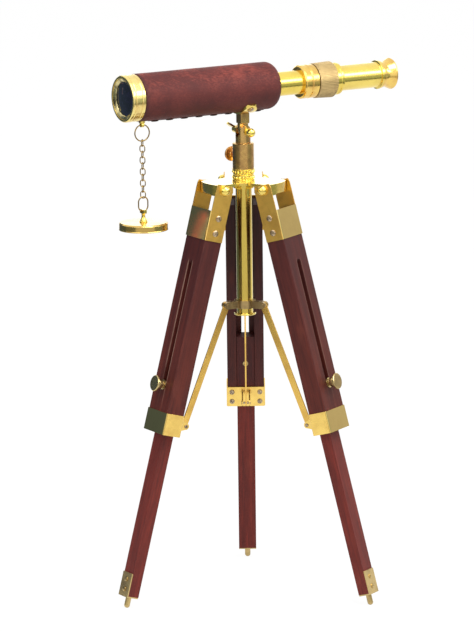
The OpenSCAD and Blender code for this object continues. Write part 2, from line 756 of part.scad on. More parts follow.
module channel() {
  t = wood_t/2;
  g = groove_w/2;
  slot_end = clamp_u + slot_w/2 + 0.5;
  color(wood) difference() {
    translate([0, 0, -wood_end]) linear_extrude(wood_end - wood_top)
      polygon([[-t, -strap_hw], [t - 0.6, -strap_hw], [t, 0.6 - strap_hw], [t, strap_hw - 0.6],
        [t - 0.6, strap_hw], [-t, strap_hw], [-t, g], [web_w, g], [web_w, -g], [-t, -g]]);
    translate([0, 0, -slot_end + slot_w/2]) rotate([0, 90, 0]) {
      cylinder(d = slot_w, h = 20);
      translate([slot_top - slot_end + slot_w, 0, 0]) cylinder(d = slot_w, h = 20);
      translate([slot_top - slot_end + slot_w, -slot_w/2, 0]) cube([slot_end - slot_top - slot_w, slot_w, 20]);
    }
    strap_screw_places() translate([0, 0, -5]) cylinder(r = screw_r, h = 6);
    ferrule_screw_places() translate([0, 0, -5]) cylinder(r = screw_r, h = 6);
  }
}

module top_bracket() {
  t = wood_t/2;
  end = wood_top - 1.4 + bracket_len;
  top = pivot_drop - 0.4;
  color(brass) difference() {
    union() {
      for (s = [0, 1]) mirror([0, s, 0]) side_plate(strap_hw, strap_hw + sheet) {
        intersection() {
          circle(r = t);
          translate([-t, -top]) square([2*t, 2*t]);
        }
        translate([-t, 0]) square([2*t, end]);
      }
      translate([t, -strap_hw - sheet, -end]) cube([sheet, 2*(strap_hw + sheet), bracket_len]);
    }
    translate([0, 2*wood_w, 0]) rotate([90, 0, 0]) cylinder(r = pivot_bolt_r, h = 4*wood_w);
    strap_screw_places() translate([0, 0, -5]) cylinder(r = screw_r, h = 6);
  }
}

module ferrule() {
  t = wood_t/2;
  o = [t + sheet, strap_hw + sheet];
  gap_v = strut_t/2 + gap;
  color(brass) difference() {
    union() {
      translate([0, 0, -ferrule_top - ferrule_len]) linear_extrude(ferrule_len) difference() {
        square(2*o, center = true);
        square([2*t, 2*strap_hw], center = true);
      }
      for (s = [0, 1]) mirror([0, s, 0]) side_plate(ear_hw - ear_t, ear_hw) {
        translate([-strut_foot_w, strut_foot_u]) circle(r = 2.7);
        polygon([[-strut_foot_w, strut_foot_u - 2.7], [-t - sheet/2, ferrule_top + 1.6],
          [-t - sheet/2, ferrule_top + ferrule_len - 1.6], [-strut_foot_w, strut_foot_u + 2.7]]);
      }
    }
    ferrule_screw_places() translate([0, 0, -5]) cylinder(r = screw_r, h = 6);
    translate([-strut_foot_w, 10, -strut_foot_u]) rotate([90, 0, 0]) cylinder(r = strut_pin_r, h = 20);
  }
}

module fasteners() {
  color(bright) {
    strap_screw_places() screw(2.5, 4.4, 25);
    ferrule_screw_places() screw(2.1, 4.4, 40);
    translate([-strut_foot_w, 0, -strut_foot_u]) rotate([90, 0, 0]) {
      cylinder(r = strut_pin_r, h = 2*ear_hw, center = true);
      for (s = [0, 180]) rotate([s, 0, 0]) translate([0, 0, ear_hw]) cylinder(r = 1.5, h = 0.5);
    }
  }
}

module pivot_bolt() {
  face = strap_hw + sheet;
  color(bright) rotate([90, 0, 0]) {
    cylinder(r = pivot_bolt_r, h = 2*face, center = true);
    for (s = [0, 180]) rotate([s, 0, 0]) translate([0, 0, face]) {
      cylinder(r = bolt_head_r, h = 1);
      cylinder(r = bolt_head_r - 0.5, h = 2.2);
      translate([0, 0, 2.2]) intersection() {
        cylinder(r = bolt_head_r - 0.5, h = 3);
        translate([0, 0, -1.6]) sphere(r = bolt_head_r - 0.2);
      }
    }
  }
}

module slider() {
  color(wood) difference() {
    translate([slider_mid_w - slider_t/2, -slider_w/2, -slider_end])
      cube([slider_t, slider_w, slider_end - slider_top]);
    translate([-20, 0, -clamp_u]) rotate([0, 90, 0]) cylinder(r = 1.6 + fit, h = 40);
    foot_screw_places() translate([0, 0, -5]) cylinder(r = screw_r, h = 6);
    translate([slider_mid_w, 0, -slider_end - 1]) cylinder(r = pin_r - 0.8, h = 9);
  }
}

module foot_screw_places() {
  for (u = [4, 12]) translate([slider_w_out + 1, 0, -slider_end + 1 + u]) rotate([0, 90, 0]) children();
}

module foot() {
  color(bright) difference() {
    union() {
      translate([slider_w_out, -slider_w/2, -slider_end - 1]) cube([1, slider_w, 19.5]);
      translate([slider_w_out - slider_t + 0.3, -slider_w/2, -slider_end - 1])
        cube([slider_t + 0.7, slider_w, 1]);
      translate([slider_mid_w, 0, -leg_len]) {
        translate([0, 0, pin_r]) sphere(r = pin_r);
        translate([0, 0, pin_r]) cylinder(r = pin_r, h = pin_len - pin_r);
        translate([0, 0, pin_len - 0.5]) cylinder(r = pin_r - 0.8, h = 7);
      }
    }
    foot_screw_places() translate([0, 0, -5]) cylinder(r = screw_r, h = 8);
  }
  color(bright) foot_screw_places() screw(1.9, 4.4, 70);
}

module clamp_knob() {
  out = wood_t/2 + 0.1;
  inside = slider_mid_w - slider_t/2;
  color(bright) translate([0, 0, -clamp_u]) rotate([0, 90, 0]) difference() {
    union() {
      translate([0, 0, inside - 0.4]) cylinder(r = 1.6, h = out - inside + 1);
      translate([0, 0, inside - 0.55]) cylinder(r = 2.2, h = 0.5);
      translate([0, 0, out]) rotate_extrude() polygon([[0, 0], [4, 0], [4, 0.9], [2.8, 1.2],
        [2.8, 2.4], [4, 3], [4, 5.4], [3, 6.6], [3, knob_h - 2.4], [knob_r - 0.5, knob_h - 2],
        [knob_r, knob_h - 1.5], [knob_r, knob_h - 0.5], [knob_r - 0.5, knob_h], [0, knob_h]]);
    }
    translate([-3, -0.25, inside - 1]) cube([6, 0.5, 0.7]);
  }
}

// The strut hangs from the collar; its lower hole is a short slot along the strip
module strut() {
  r = strut_w/2;
  color(brass) side_plate(-strut_t/2, strut_t/2) difference() {
    union() {
      circle(r = r);
      translate([0, strut_len]) circle(r = r);
      translate([-r, 0]) square([2*r, strut_len]);
    }
    circle(r = strut_pin_r + fit);
    translate([0, strut_len]) circle(r = strut_pin_r + slot_play);
    translate([0, strut_len - 1.2]) circle(r = strut_pin_r + slot_play);
    translate([-strut_pin_r - slot_play, strut_len - 1.2]) square([2*(strut_pin_r + slot_play), 1.2]);
  }
}

module strut_place(n) {
  rotate((n - 1)*360/legs) translate([strut_top_r, 0, strut_top_z]) rotate([0, -strut_lean, 0]) children();
}

module leg_1_channel() { leg_place(1) channel(); }
module leg_1_top_bracket() { leg_place(1) top_bracket(); }
module leg_1_ferrule() { leg_place(1) ferrule(); }
module leg_1_fasteners() { leg_place(1) fasteners(); }
module leg_1_pivot_bolt() { leg_place(1) pivot_bolt(); }
module leg_1_slider() { leg_place(1) slider(); }
module leg_1_foot() { leg_place(1) foot(); }
module leg_1_clamp_knob() { leg_place(1) clamp_knob(); }
module leg_1_strut() { strut_place(1) strut(); }
module leg_2_channel() { leg_place(2) channel(); }
module leg_2_top_bracket() { leg_place(2) top_bracket(); }
module leg_2_ferrule() { leg_place(2) ferrule(); }
module leg_2_fasteners() { leg_place(2) fasteners(); }
module leg_2_pivot_bolt() { leg_place(2) pivot_bolt(); }
module leg_2_slider() { leg_place(2) slider(); }
module leg_2_foot() { leg_place(2) foot(); }
module leg_2_clamp_knob() { leg_place(2) clamp_knob(); }
module leg_2_strut() { strut_place(2) strut(); }
module leg_3_channel() { leg_place(3) channel(); }
module leg_3_top_bracket() { leg_place(3) top_bracket(); }
module leg_3_ferrule() { leg_place(3) ferrule(); }
module leg_3_fasteners() { leg_place(3) fasteners(); }
module leg_3_pivot_bolt() { leg_place(3) pivot_bolt(); }
module leg_3_slider() { leg_place(3) slider(); }
module leg_3_foot() { leg_place(3) foot(); }
module leg_3_clamp_knob() { leg_place(3) clamp_knob(); }
module leg_3_strut() { strut_place(3) strut(); }

barrel_tube();
leather_cover();
objective_cell();
objective_lens();
lens_retaining_ring();
rear_bush();
draw_tube();
erector_lens();
focus_collar();
focus_ring();
eyepiece_tube();
eyecup();
eye_lens();
chain_boss();
split_ring();
chain_links();
cap_ring();
cap_finial();
lens_cap();
saddle_plate();
saddle_screws();
tilt_tongue();
tilt_bolt();
wing_nut();
swivel_stem();
socket();
socket_thumb_screw();
knurled_ring_nut();
head_plate();
column_tube();
column_flange();
brace_collar();
brace_pins();
leg_1_channel();
leg_1_top_bracket();
leg_1_ferrule();
leg_1_fasteners();
leg_1_pivot_bolt();
leg_1_slider();
leg_1_foot();
leg_1_clamp_knob();
leg_1_strut();
leg_2_channel();
leg_2_top_bracket();
leg_2_ferrule();
leg_2_fasteners();
leg_2_pivot_bolt();
leg_2_slider();
leg_2_foot();
leg_2_clamp_knob();
leg_2_strut();
leg_3_channel();
leg_3_top_bracket();
leg_3_ferrule();
leg_3_fasteners();
leg_3_pivot_bolt();
leg_3_slider();
leg_3_foot();
leg_3_clamp_knob();
leg_3_strut();
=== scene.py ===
"""Looks of a table-top telescope on a folding tripod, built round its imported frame."""

from __future__ import annotations

import json
import logging
import math
from dataclasses import dataclass
from enum import Enum
from typing import Any, Callable, Mapping, Sequence, Union

import bpy
from mathutils import Matrix, Vector

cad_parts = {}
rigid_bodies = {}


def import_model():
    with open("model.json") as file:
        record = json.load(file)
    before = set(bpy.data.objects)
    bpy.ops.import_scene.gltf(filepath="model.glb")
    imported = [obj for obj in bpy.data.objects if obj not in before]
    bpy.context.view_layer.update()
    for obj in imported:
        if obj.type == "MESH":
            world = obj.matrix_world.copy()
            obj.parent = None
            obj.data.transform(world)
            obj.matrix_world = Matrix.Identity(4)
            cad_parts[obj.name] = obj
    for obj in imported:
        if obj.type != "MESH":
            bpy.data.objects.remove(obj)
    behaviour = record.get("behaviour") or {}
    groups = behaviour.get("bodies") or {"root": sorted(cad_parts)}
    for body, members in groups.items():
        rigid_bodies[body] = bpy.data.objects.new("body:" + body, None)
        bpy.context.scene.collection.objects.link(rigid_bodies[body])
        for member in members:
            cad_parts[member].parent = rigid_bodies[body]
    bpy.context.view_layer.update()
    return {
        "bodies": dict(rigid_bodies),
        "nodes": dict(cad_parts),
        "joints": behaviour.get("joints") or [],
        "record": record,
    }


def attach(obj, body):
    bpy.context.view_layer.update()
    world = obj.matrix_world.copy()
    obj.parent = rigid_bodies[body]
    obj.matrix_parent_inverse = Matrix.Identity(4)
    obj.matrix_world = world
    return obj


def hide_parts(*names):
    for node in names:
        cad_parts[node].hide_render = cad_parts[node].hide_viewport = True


LOG = logging.getLogger("telescope")
MM = 0.001
Triple = tuple[float, float, float]
Colour = tuple[float, float, float, float]
Number = Union["Sock", float]


def srgb(red: int, green: int, blue: int) -> Colour:
    """Turn a colour as seen on a screen into the linear one that a shader takes.

    Args:
        red: Red, 0 to 255.
        green: Green, 0 to 255.
        blue: Blue, 0 to 255.

    Returns:
        The linear colour with full alpha.
    """

    def linear(value: int) -> float:
        """Undo the screen's curve for one channel."""
        part = value / 255
        return part / 12.92 if part <= 0.04045 else ((part + 0.055) / 1.055) ** 2.4

    return (linear(red), linear(green), linear(blue), 1.0)


# Shader building


@dataclass(frozen=True)
class Sock:
    """A shader socket on which Python arithmetic adds Math nodes."""

    paint: "Paint"
    socket: bpy.types.NodeSocket

    def _math(self, operation: str, *values: Number) -> "Sock":
        """Add one Math node.

        Args:
            operation: Blender's name of the operation.
            values: Its inputs in order.

        Returns:
            The node's result.
        """
        inputs = dict(enumerate(values))
        return self.paint.sock("ShaderNodeMath", {"operation": operation}, inputs)

    def __add__(self, other: Number) -> "Sock":
        """Sum."""
        return self._math("ADD", self, other)

    def __radd__(self, other: Number) -> "Sock":
        """Sum with a number on the left."""
        return self._math("ADD", other, self)

    def __sub__(self, other: Number) -> "Sock":
        """Difference."""
        return self._math("SUBTRACT", self, other)

    def __rsub__(self, other: Number) -> "Sock":
        """Difference from a number."""
        return self._math("SUBTRACT", other, self)

    def __mul__(self, other: Number) -> "Sock":
        """Product."""
        return self._math("MULTIPLY", self, other)

    def __rmul__(self, other: Number) -> "Sock":
        """Product with a number on the left."""
        return self._math("MULTIPLY", other, self)

    def __pow__(self, other: Number) -> "Sock":
        """Power."""
        return self._math("POWER", self, other)

    def __lt__(self, other: Number) -> "Sock":
        """1 where the socket is less, else 0."""
        return self._math("LESS_THAN", self, other)

    def absolute(self) -> "Sock":
        """Absolute value."""
        return self._math("ABSOLUTE", self)

    def smaller(self, other: Number) -> "Sock":
        """The smaller of two values."""
        return self._math("MINIMUM", self, other)

    def larger(self, other: Number) -> "Sock":
        """The larger of two values."""
        return self._math("MAXIMUM", self, other)

    def ramp(self, low: float, high: float) -> "Sock":
        """Go smoothly from 0 at one value to 1 at another.

        Args:
            low: Value that gives 0.
            high: Value that gives 1.

        Returns:
            The blend.
        """
        inputs = {"Value": self, "From Min": low, "From Max": high}
        settings = {"interpolation_type": "SMOOTHSTEP"}
        return self.paint.sock("ShaderNodeMapRange", settings, inputs, "Result")


class Paint:
    """The node tree of one material or of the world."""

    def __init__(self, tree: bpy.types.NodeTree) -> None:
        """Empty the tree.

        Args:
            tree: The tree to fill.
        """
        self.tree = tree
        tree.nodes.clear()

    def node(
        self,
        kind: str,
        settings: Mapping[str, Any] | None = None,
        inputs: Mapping[Any, Any] | None = None,
    ) -> bpy.types.Node:
        """Add a node, set it, then fill its sockets.

        Args:
            kind: Blender's node type.
            settings: Attributes of the node.
            inputs: Values or links by socket name or number.

        Returns:
            The node.
        """
        made = self.tree.nodes.new(kind)
        for name, value in (settings or {}).items():
            setattr(made, name, value)
        for name, value in (inputs or {}).items():
            link = value.socket if isinstance(value, Sock) else value
            if isinstance(link, bpy.types.NodeSocket):
                self.tree.links.new(link, made.inputs[name])
            else:
                made.inputs[name].default_value = value
        return made

    def sock(self, kind: str, settings: Any, inputs: Any, output: Any = 0) -> Sock:
        """Add a node and wrap one of its outputs.

        Args:
            kind: Blender's node type.
            settings: Attributes of the node.
            inputs: Values or links by socket name or number.
            output: Name or number of the output.

        Returns:
            The output.
        """
        return Sock(self, self.node(kind, settings, inputs).outputs[output])

    def mapped(self, vector: Any, **change: Any) -> Sock:
        """Turn or stretch coordinates.

        Args:
            vector: The coordinates.
            change: Rotation in radians, or Scale along each axis.

        Returns:
            The new coordinates.
        """
        inputs = {"Vector": vector, **change}
        return self.sock("ShaderNodeMapping", {"vector_type": "POINT"}, inputs)

    def place(self, turn: Triple = (0, 0, 0), scale: Triple = (1, 1, 1)) -> Sock:
        """Object coordinates, turned and stretched.

        Args:
            turn: Rotation in radians.
            scale: Scale along each axis.

        Returns:
            The coordinates.
        """
        here = self.node("ShaderNodeTexCoord").outputs["Object"]
        return self.mapped(self.mapped(here, Rotation=turn), Scale=scale)

    def axes(self, vector: Sock) -> tuple[Sock, Sock, Sock]:
        """Split a vector into its three parts."""
        made = self.node("ShaderNodeSeparateXYZ", None, {"Vector": vector})
        return tuple(Sock(self, made.outputs[i]) for i in range(3))

    def noise(self, vector: Sock, scale: float, detail: float = 3, rough: float = 0.5) -> Sock:
        """Fractal noise.

        Args:
            vector: Where it is read.
            scale: Its scale.
            detail: Octaves.
            rough: How much the finer octaves count.

        Returns:
            The noise, about 0.5.
        """
        inputs = {"Vector": vector, "Scale": scale, "Detail": detail, "Roughness": rough}
        return self.sock("ShaderNodeTexNoise", None, inputs, "Fac")

    def clouds(self, vector: Sock, scale: float) -> Sock:
        """Soft clouds of tarnish, from 0 to 1."""
        return self.noise(vector, scale, 4, 0.6).ramp(0.38, 0.72)

    def spots(self, vector: Sock) -> Sock:
        """Small dull spots, from 0 to 1."""
        return self.noise(vector, 420, 3, 0.6).ramp(0.6, 0.8)

    def scratches(self, turn: Triple = (0.4, 0.7, 0.2), scale: Triple = (6000, 240, 900)) -> Sock:
        """Fine scratches that run mostly one way."""
        return self.noise(self.place(turn, scale), 1.0, 2, 0.6)

    def cells(self, vector: Sock, scale: float) -> Sock:
        """Distance to the edges of random cells."""
        inputs = {"Vector": vector, "Scale": scale}
        settings = {"feature": "DISTANCE_TO_EDGE"}
        return self.sock("ShaderNodeTexVoronoi", settings, inputs, "Distance")

    def mix(self, amount: Number, first: Any, second: Any) -> Sock:
        """Mix two colours.

        Args:
            amount: Share of the second.
            first: First colour.
            second: Second colour.

        Returns:
            The colour.
        """
        inputs = {0: amount, 6: first, 7: second}
        return self.sock("ShaderNodeMix", {"data_type": "RGBA"}, inputs, 2)

    def bump(self, height: Sock, depth: float, strength: float = 1.0) -> Sock:
        """Turn a height between 0 and 1 into a normal.

        Args:
            height: The height.
            depth: Real depth of a height of 1, in mm.
            strength: How much of it shows.

        Returns:
            The normal.
        """
        inputs = {"Height": height, "Distance": depth * MM, "Strength": strength}
        return self.sock("ShaderNodeBump", None, inputs, "Normal")

    def surface(self, **values: Any) -> None:
        """Finish a material with one Principled shader.

        Args:
            values: Its sockets, with underscores for blanks.
        """
        inputs = {name.replace("_", " "): value for name, value in values.items()}
        self.show(self.node("ShaderNodeBsdfPrincipled", None, inputs))

    def show(self, shader: bpy.types.Node, kind: str = "Material") -> None:
        """Put a shader out as the tree's surface."""
        self.node(f"ShaderNodeOutput{kind}", None, {"Surface": shader.outputs[0]})

    def seen(self) -> Sock:
        """1 for rays from the camera, from reflections and through glass, else 0."""
        path = self.node("ShaderNodeLightPath")
        camera = Sock(self, path.outputs["Is Camera Ray"])
        reflected = camera.larger(Sock(self, path.outputs["Is Glossy Ray"]))
        return reflected.larger(Sock(self, path.outputs["Is Transmission Ray"]))


def new_paint(name: str) -> tuple[bpy.types.Material, Paint]:
    """Make an empty material.

    Args:
        name: Its name.

    Returns:
        The material and its tree.
    """
    material = bpy.data.materials.new(name)
    material.use_nodes = True
    return material, Paint(material.node_tree)


# Mesh tools


def deselect() -> None:
    """Leave object mode with nothing selected."""
    if bpy.context.object and bpy.context.object.mode != "OBJECT":
        bpy.ops.object.mode_set(mode="OBJECT")
    bpy.ops.object.select_all(action="DESELECT")


def activate(obj: bpy.types.Object) -> None:
    """Select one object alone and make it the active one."""
    deselect()
    obj.select_set(True)
    bpy.context.view_layer.objects.active = obj


def edit(obj: bpy.types.Object, kind: str = "FACE") -> None:
    """Open an object in edit mode with all of it selected."""
    activate(obj)
    bpy.ops.object.mode_set(mode="EDIT")
    bpy.ops.mesh.select_mode(type=kind)
    bpy.ops.mesh.select_all(action="SELECT")


def pick_edges(obj: bpy.types.Object, test: Callable[[Vector, Vector], bool]) -> int:
    """Select edges in edit mode by their two ends.

    Args:
        obj: The object that is open.
        test: Says whether an edge with these ends is wanted.

    Returns:
        How many are selected.
    """
    bpy.ops.object.mode_set(mode="OBJECT")
    mesh = obj.data
    for part in (*mesh.polygons, *mesh.vertices):
        part.select = False
    count = 0
    for edge in mesh.edges:
        ends = [mesh.vertices[i] for i in edge.vertices]
        edge.select = bool(test(*(end.co for end in ends)))
        count += edge.select
        for end in ends:
            end.select = end.select or edge.select
    bpy.ops.object.mode_set(mode="EDIT")
    bpy.ops.mesh.select_mode(type="EDGE")
    return count


def modify(obj: bpy.types.Object, kind: str, **settings: Any) -> None:
    """Add a modifier and apply it at once.

    Args:
        obj: The object.
        kind: Blender's type of the modifier.
        settings: Its attributes.
    """
    activate(obj)
    modifier = obj.modifiers.new(kind.title(), kind)
    for name, value in settings.items():
        setattr(modifier, name, value)
    bpy.ops.object.modifier_apply(modifier=modifier.name)


def settle(obj: bpy.types.Object) -> None:
    """Move an object's place, turn and scale into its mesh."""
    activate(obj)
    bpy.ops.object.transform_apply(location=True, rotation=True, scale=True)


def move_mesh(obj: bpy.types.Object, matrix: Matrix) -> None:
    """Carry a finished mesh by a matrix, its object staying at the origin.

    Args:
        obj: The object.
        matrix: Where the mesh goes.
    """
    obj.matrix_world = matrix
    bpy.context.view_layer.update()
    settle(obj)


def turn_mesh(obj: bpy.types.Object, degrees: float, axis: str) -> None:
    """Turn a mesh round the origin in edit mode."""
    edit(obj)
    bpy.ops.transform.rotate(
        value=math.radians(degrees), orient_axis=axis, center_override=(0, 0, 0)
    )
    bpy.ops.object.mode_set(mode="OBJECT")


def smooth(obj: bpy.types.Object, degrees: float) -> None:
    """Shade smoothly except over edges sharper than an angle."""
    activate(obj)
    bpy.ops.object.shade_smooth_by_angle(angle=math.radians(degrees))


def flatten(obj: bpy.types.Object, degrees: float = 40) -> None:
    """Shade broken edges round and the broad faces between them flat."""
    smooth(obj, degrees)
    modify(obj, "WEIGHTED_NORMAL", mode="FACE_AREA", weight=90, keep_sharp=True)


def merge(obj: bpy.types.Object, distance: float = 1e-6, outwards: bool = True) -> None:
    """Merge doubles and turn the faces outwards.

    Args:
        obj: The object.
        distance: How near two vertices are the same, in metres.
        outwards: Whether the normals are worked out again.
    """
    edit(obj)
    bpy.ops.mesh.remove_doubles(threshold=distance)
    if outwards:
        bpy.ops.mesh.normals_make_consistent(inside=False)
    bpy.ops.object.mode_set(mode="OBJECT")


def copy_mesh(obj: bpy.types.Object, name: str) -> bpy.types.Object:
    """Copy an object with a mesh of its own.

    Args:
        obj: The object.
        name: Name of the copy.

    Returns:
        The copy, on no body yet.
    """
    made = bpy.data.objects.new(name, obj.data.copy())
    made.data.name = name
    bpy.context.scene.collection.objects.link(made)
    return made


def join(name: str, pieces: Sequence[bpy.types.Object]) -> bpy.types.Object:
    """Join objects into the first one.

    Args:
        name: Name of the result.
        pieces: The objects.

    Returns:
        The joined object.
    """
    deselect()
    for piece in pieces:
        piece.select_set(True)
    bpy.context.view_layer.objects.active = pieces[0]
    if len(pieces) > 1:
        bpy.ops.object.join()
    pieces[0].name = name
    pieces[0].data.name = name
    return pieces[0]


def spun(name: str, profile: Sequence[tuple[float, float]], steps: int = 96) -> bpy.types.Object:
    """Turn a profile round +X, as on a lathe.

    Args:
        name: Name of the object.
        profile: Radius and station along X of each point, in mm; a closed
            wall's first point comes again at its end.
        steps: Flats round the circle.

    Returns:
        The turned object.
    """
    deselect()
    bpy.ops.mesh.primitive_circle_add(vertices=3, radius=MM, fill_type="NOTHING")
    made = bpy.context.object
    edit(made, "VERT")
    bpy.ops.mesh.delete(type="VERT")
    bpy.ops.object.mode_set(mode="OBJECT")
    made.name = made.data.name = name
    made.data.vertices.add(len(profile))
    for vertex, (radius, station) in zip(made.data.vertices, profile):
        vertex.co = (station * MM, 0.0, radius * MM)
    made.data.edges.add(len(profile) - 1)
    for number, edge in enumerate(made.data.edges):
        edge.vertices = (number, number + 1)
    made.data.update()
    edit(made, "VERT")
    bpy.ops.mesh.spin(
        steps=steps, angle=math.tau, center=(0, 0, 0), axis=(1, 0, 0), use_auto_merge=True
    )
    bpy.ops.object.mode_set(mode="OBJECT")
    merge(made)
    return made


def dissolve_flat(obj: bpy.types.Object) -> None:
    """Turn the triangles of each flat face into one face."""
    edit(obj)
    bpy.ops.mesh.dissolve_limited(angle_limit=math.radians(1.5), delimit={"NORMAL"})
    bpy.ops.object.mode_set(mode="OBJECT")


def break_edges(obj: bpy.types.Object, width: float, degrees: float) -> None:
    """Bevel the sharp edges.

    Args:
        obj: The object.
        width: Width of the broken edge, in mm.
        degrees: Edges sharper than this are broken.
    """
    modify(
        obj, "BEVEL", width=width * MM, segments=2, limit_method="ANGLE",
        angle_limit=math.radians(degrees), use_clamp_overlap=True,
    )


def copy_node(frame: Mapping[str, Any], node: str) -> bpy.types.Object:
    """Copy a CAD node where it stands, its triangles joined into one skin.

    Args:
        frame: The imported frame.
        node: The node's name.

    Returns:
        The copy.
    """
    source = frame["nodes"][node]
    made = copy_mesh(source, f"{node}_finished")
    made.matrix_world = source.matrix_world
    settle(made)
    merge(made, 2e-6, False)
    return made


def soften(
    frame: Mapping[str, Any], node: str, width: float, degrees: float = 35
) -> bpy.types.Object:
    """Copy a CAD node and break its sharp edges.

    Args:
        frame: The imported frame.
        node: The node's name.
        width: Width of the broken edge, in mm.
        degrees: Edges sharper than this are broken.

    Returns:
        The piece, which stands where the node is.
    """
    made = copy_node(frame, node)
    dissolve_flat(made)
    break_edges(made, width, degrees)
    flatten(made)
    return made


# Where a leg stands


@dataclass(frozen=True)
class LegFrame:
    """A leg's own frame: its pivot, its direction from the column and its lean."""

    azimuth: float
    splay: float = 15.0
    pivot_radius: float = 26.5
    pivot_height: float = 332.978

    def home(self) -> Matrix:
        """Matrix from the leg's frame, its -Z running down the leg, to the object's."""
        turn = Matrix.Rotation(math.radians(self.azimuth), 4, "Z")
        shift = Matrix.Translation((self.pivot_radius * MM, 0, self.pivot_height * MM))
        return turn @ shift @ Matrix.Rotation(math.radians(-self.splay), 4, "Y")

    def turned(self, paint: Paint) -> Sock:
        """Object coordinates, turned so that the leg leans towards +X."""
        return paint.place((0, 0, -math.radians(self.azimuth)))

    def ways(self, paint: Paint, turned: Sock) -> tuple[Sock, Sock, Sock]:
        """Measure from the pivot in the leg's own directions.

        Args:
            paint: The material's tree.
            turned: The turned coordinates.

        Returns:
            Outwards from its middle, sideways and down the leg.
        """
        x, y, z = paint.axes(turned)
        lean = math.radians(self.splay)
        east, rise = x - self.pivot_radius * MM, z - self.pivot_height * MM
        outward = east * math.cos(lean) + rise * math.sin(lean)
        down = east * math.sin(lean) - rise * math.cos(lean)
        return outward, y, down


# Finishes


class Slot(Enum):
    """The record's material slots."""

    BRASS = "brass"
    MATTE = "matte_brass"
    CHAIN = "chain_brass"
    LEATHER = "leather"
    WOOD = "leg_wood"
    LOWER = "lower_wood"
    GLASS = "glass"


@dataclass(frozen=True)
class Brass:
    """Polished brass that has aged a little.

    Tarnish is how far its colour turns to the shade, in clouds whose scale is spread, and
    lacquer is the weight of a clear coat.
    """

    name: str
    colour: Colour = srgb(240, 214, 106)
    shade: Colour = srgb(196, 158, 72)
    rough: float = 0.16
    tarnish: float = 0.35
    spread: float = 55.0
    lacquer: float = 0.0

    def build(self) -> bpy.types.Material:
        """Make the material: clouds of tarnish, fine scratches and rubbing marks."""
        material, paint = new_paint(self.name)
        here = paint.place()
        clouds = paint.clouds(here, self.spread)
        spots = paint.spots(here)
        wear = paint.noise(here, 24, 2, 0.5)
        lines = paint.scratches()
        dull = (clouds * self.tarnish + spots * 0.22).smaller(1.0)
        tint = paint.mix(dull, self.colour, self.shade)
        rough = self.rough + clouds * 0.07 + spots * 0.1 + (lines - 0.5) * 0.06 + wear * 0.03
        paint.surface(
            Base_Color=tint,
            Metallic=1.0,
            Roughness=rough,
            Coat_Weight=self.lacquer,
            Coat_Roughness=0.12,
            Normal=paint.bump(lines * 0.5 + spots * 0.2, 0.03, 0.2),
        )
        return material


@dataclass(frozen=True)
class Screw:
    """Greyed screw heads."""

    name: str = "greyed_screws"
    colour: Colour = srgb(190, 170, 140)
    shade: Colour = srgb(116, 98, 80)

    def build(self) -> bpy.types.Material:
        """Find the material or make it: dull metal with dirt in its marks."""
        if self.name in bpy.data.materials:
            return bpy.data.materials[self.name]
        material, paint = new_paint(self.name)
        dirt = paint.noise(paint.place(), 700, 3, 0.6).ramp(0.4, 0.7)
        lines = paint.scratches((0.3, 0.2, 0.8), (5200, 300, 900))
        paint.surface(
            Base_Color=paint.mix(dirt, self.colour, self.shade),
            Metallic=1.0,
            Roughness=0.3 + dirt * 0.12,
            Normal=paint.bump(lines, 0.03, 0.4),
        )
        return material


@dataclass(frozen=True)
class FoldedBrass:
    """Sheet brass round a leg: rubbed bright outside, dulled on its sides.

    The outer face lies so many mm outwards from the leg's middle, and the shine fades out
    just below it.
    """

    name: str
    leg: LegFrame
    colour: Colour = srgb(240, 192, 96)
    shade: Colour = srgb(176, 132, 66)
    rough: float = 0.32
    rubbed: Colour = srgb(224, 200, 128)
    rubbed_shade: Colour = srgb(178, 152, 92)
    outer_face: float = 8.1
    fade: float = 0.3
    mirror: float = 0.04

    def build(self) -> bpy.types.Material:
        """Make the material: clouds, spots and a polished outer face."""
        material, paint = new_paint(self.name)
        here = self.leg.turned(paint)
        outward, _, _ = self.leg.ways(paint, here)
        outer = outward.ramp((self.outer_face - self.fade) * MM, self.outer_face * MM)
        clouds = paint.clouds(here, 60)
        spots = paint.spots(here)
        dull = (clouds * 0.5 + spots * 0.3).smaller(1.0)
        side = paint.mix(dull, self.colour, self.shade)
        front = paint.mix(dull * 0.4, self.rubbed, self.rubbed_shade)
        satin = (1 - outer) * (self.rough - self.mirror)
        paint.surface(
            Base_Color=paint.mix(outer, side, front),
            Metallic=1.0,
            Roughness=satin + clouds * 0.03 + spots * 0.05 + self.mirror,
            Normal=paint.bump(paint.scratches() * 0.5 + spots * 0.2, 0.03, 0.2),
        )
        return material


@dataclass(frozen=True)
class KnurledRing:
    """Matte cut brass, polished from the band's station backwards."""

    name: str
    band: float
    colour: Colour = srgb(184, 160, 112)
    shade: Colour = srgb(146, 124, 84)
    polished: Brass = Brass("band_brass")

    def build(self) -> bpy.types.Material:
        """Make the material: fine grit on the grip, a plain band further back."""
        material, paint = new_paint(self.name)
        here = paint.place()
        along, _, _ = paint.axes(here)
        smooth_part = along < self.band
        grit = paint.noise(here, 2300, 3, 0.6)
        clouds = paint.clouds(here, 60)
        cut = paint.mix(clouds * 0.5 + grit * 0.3, self.colour, self.shade)
        plain = paint.mix(clouds * 0.35, self.polished.colour, self.polished.shade)
        paint.surface(
            Base_Color=paint.mix(smooth_part, cut, plain),
            Metallic=1.0,
            Roughness=(1 - smooth_part) * 0.3 + self.polished.rough + clouds * 0.06,
            Normal=paint.bump(grit * (1 - smooth_part), 0.1, 0.5),
        )
        return material


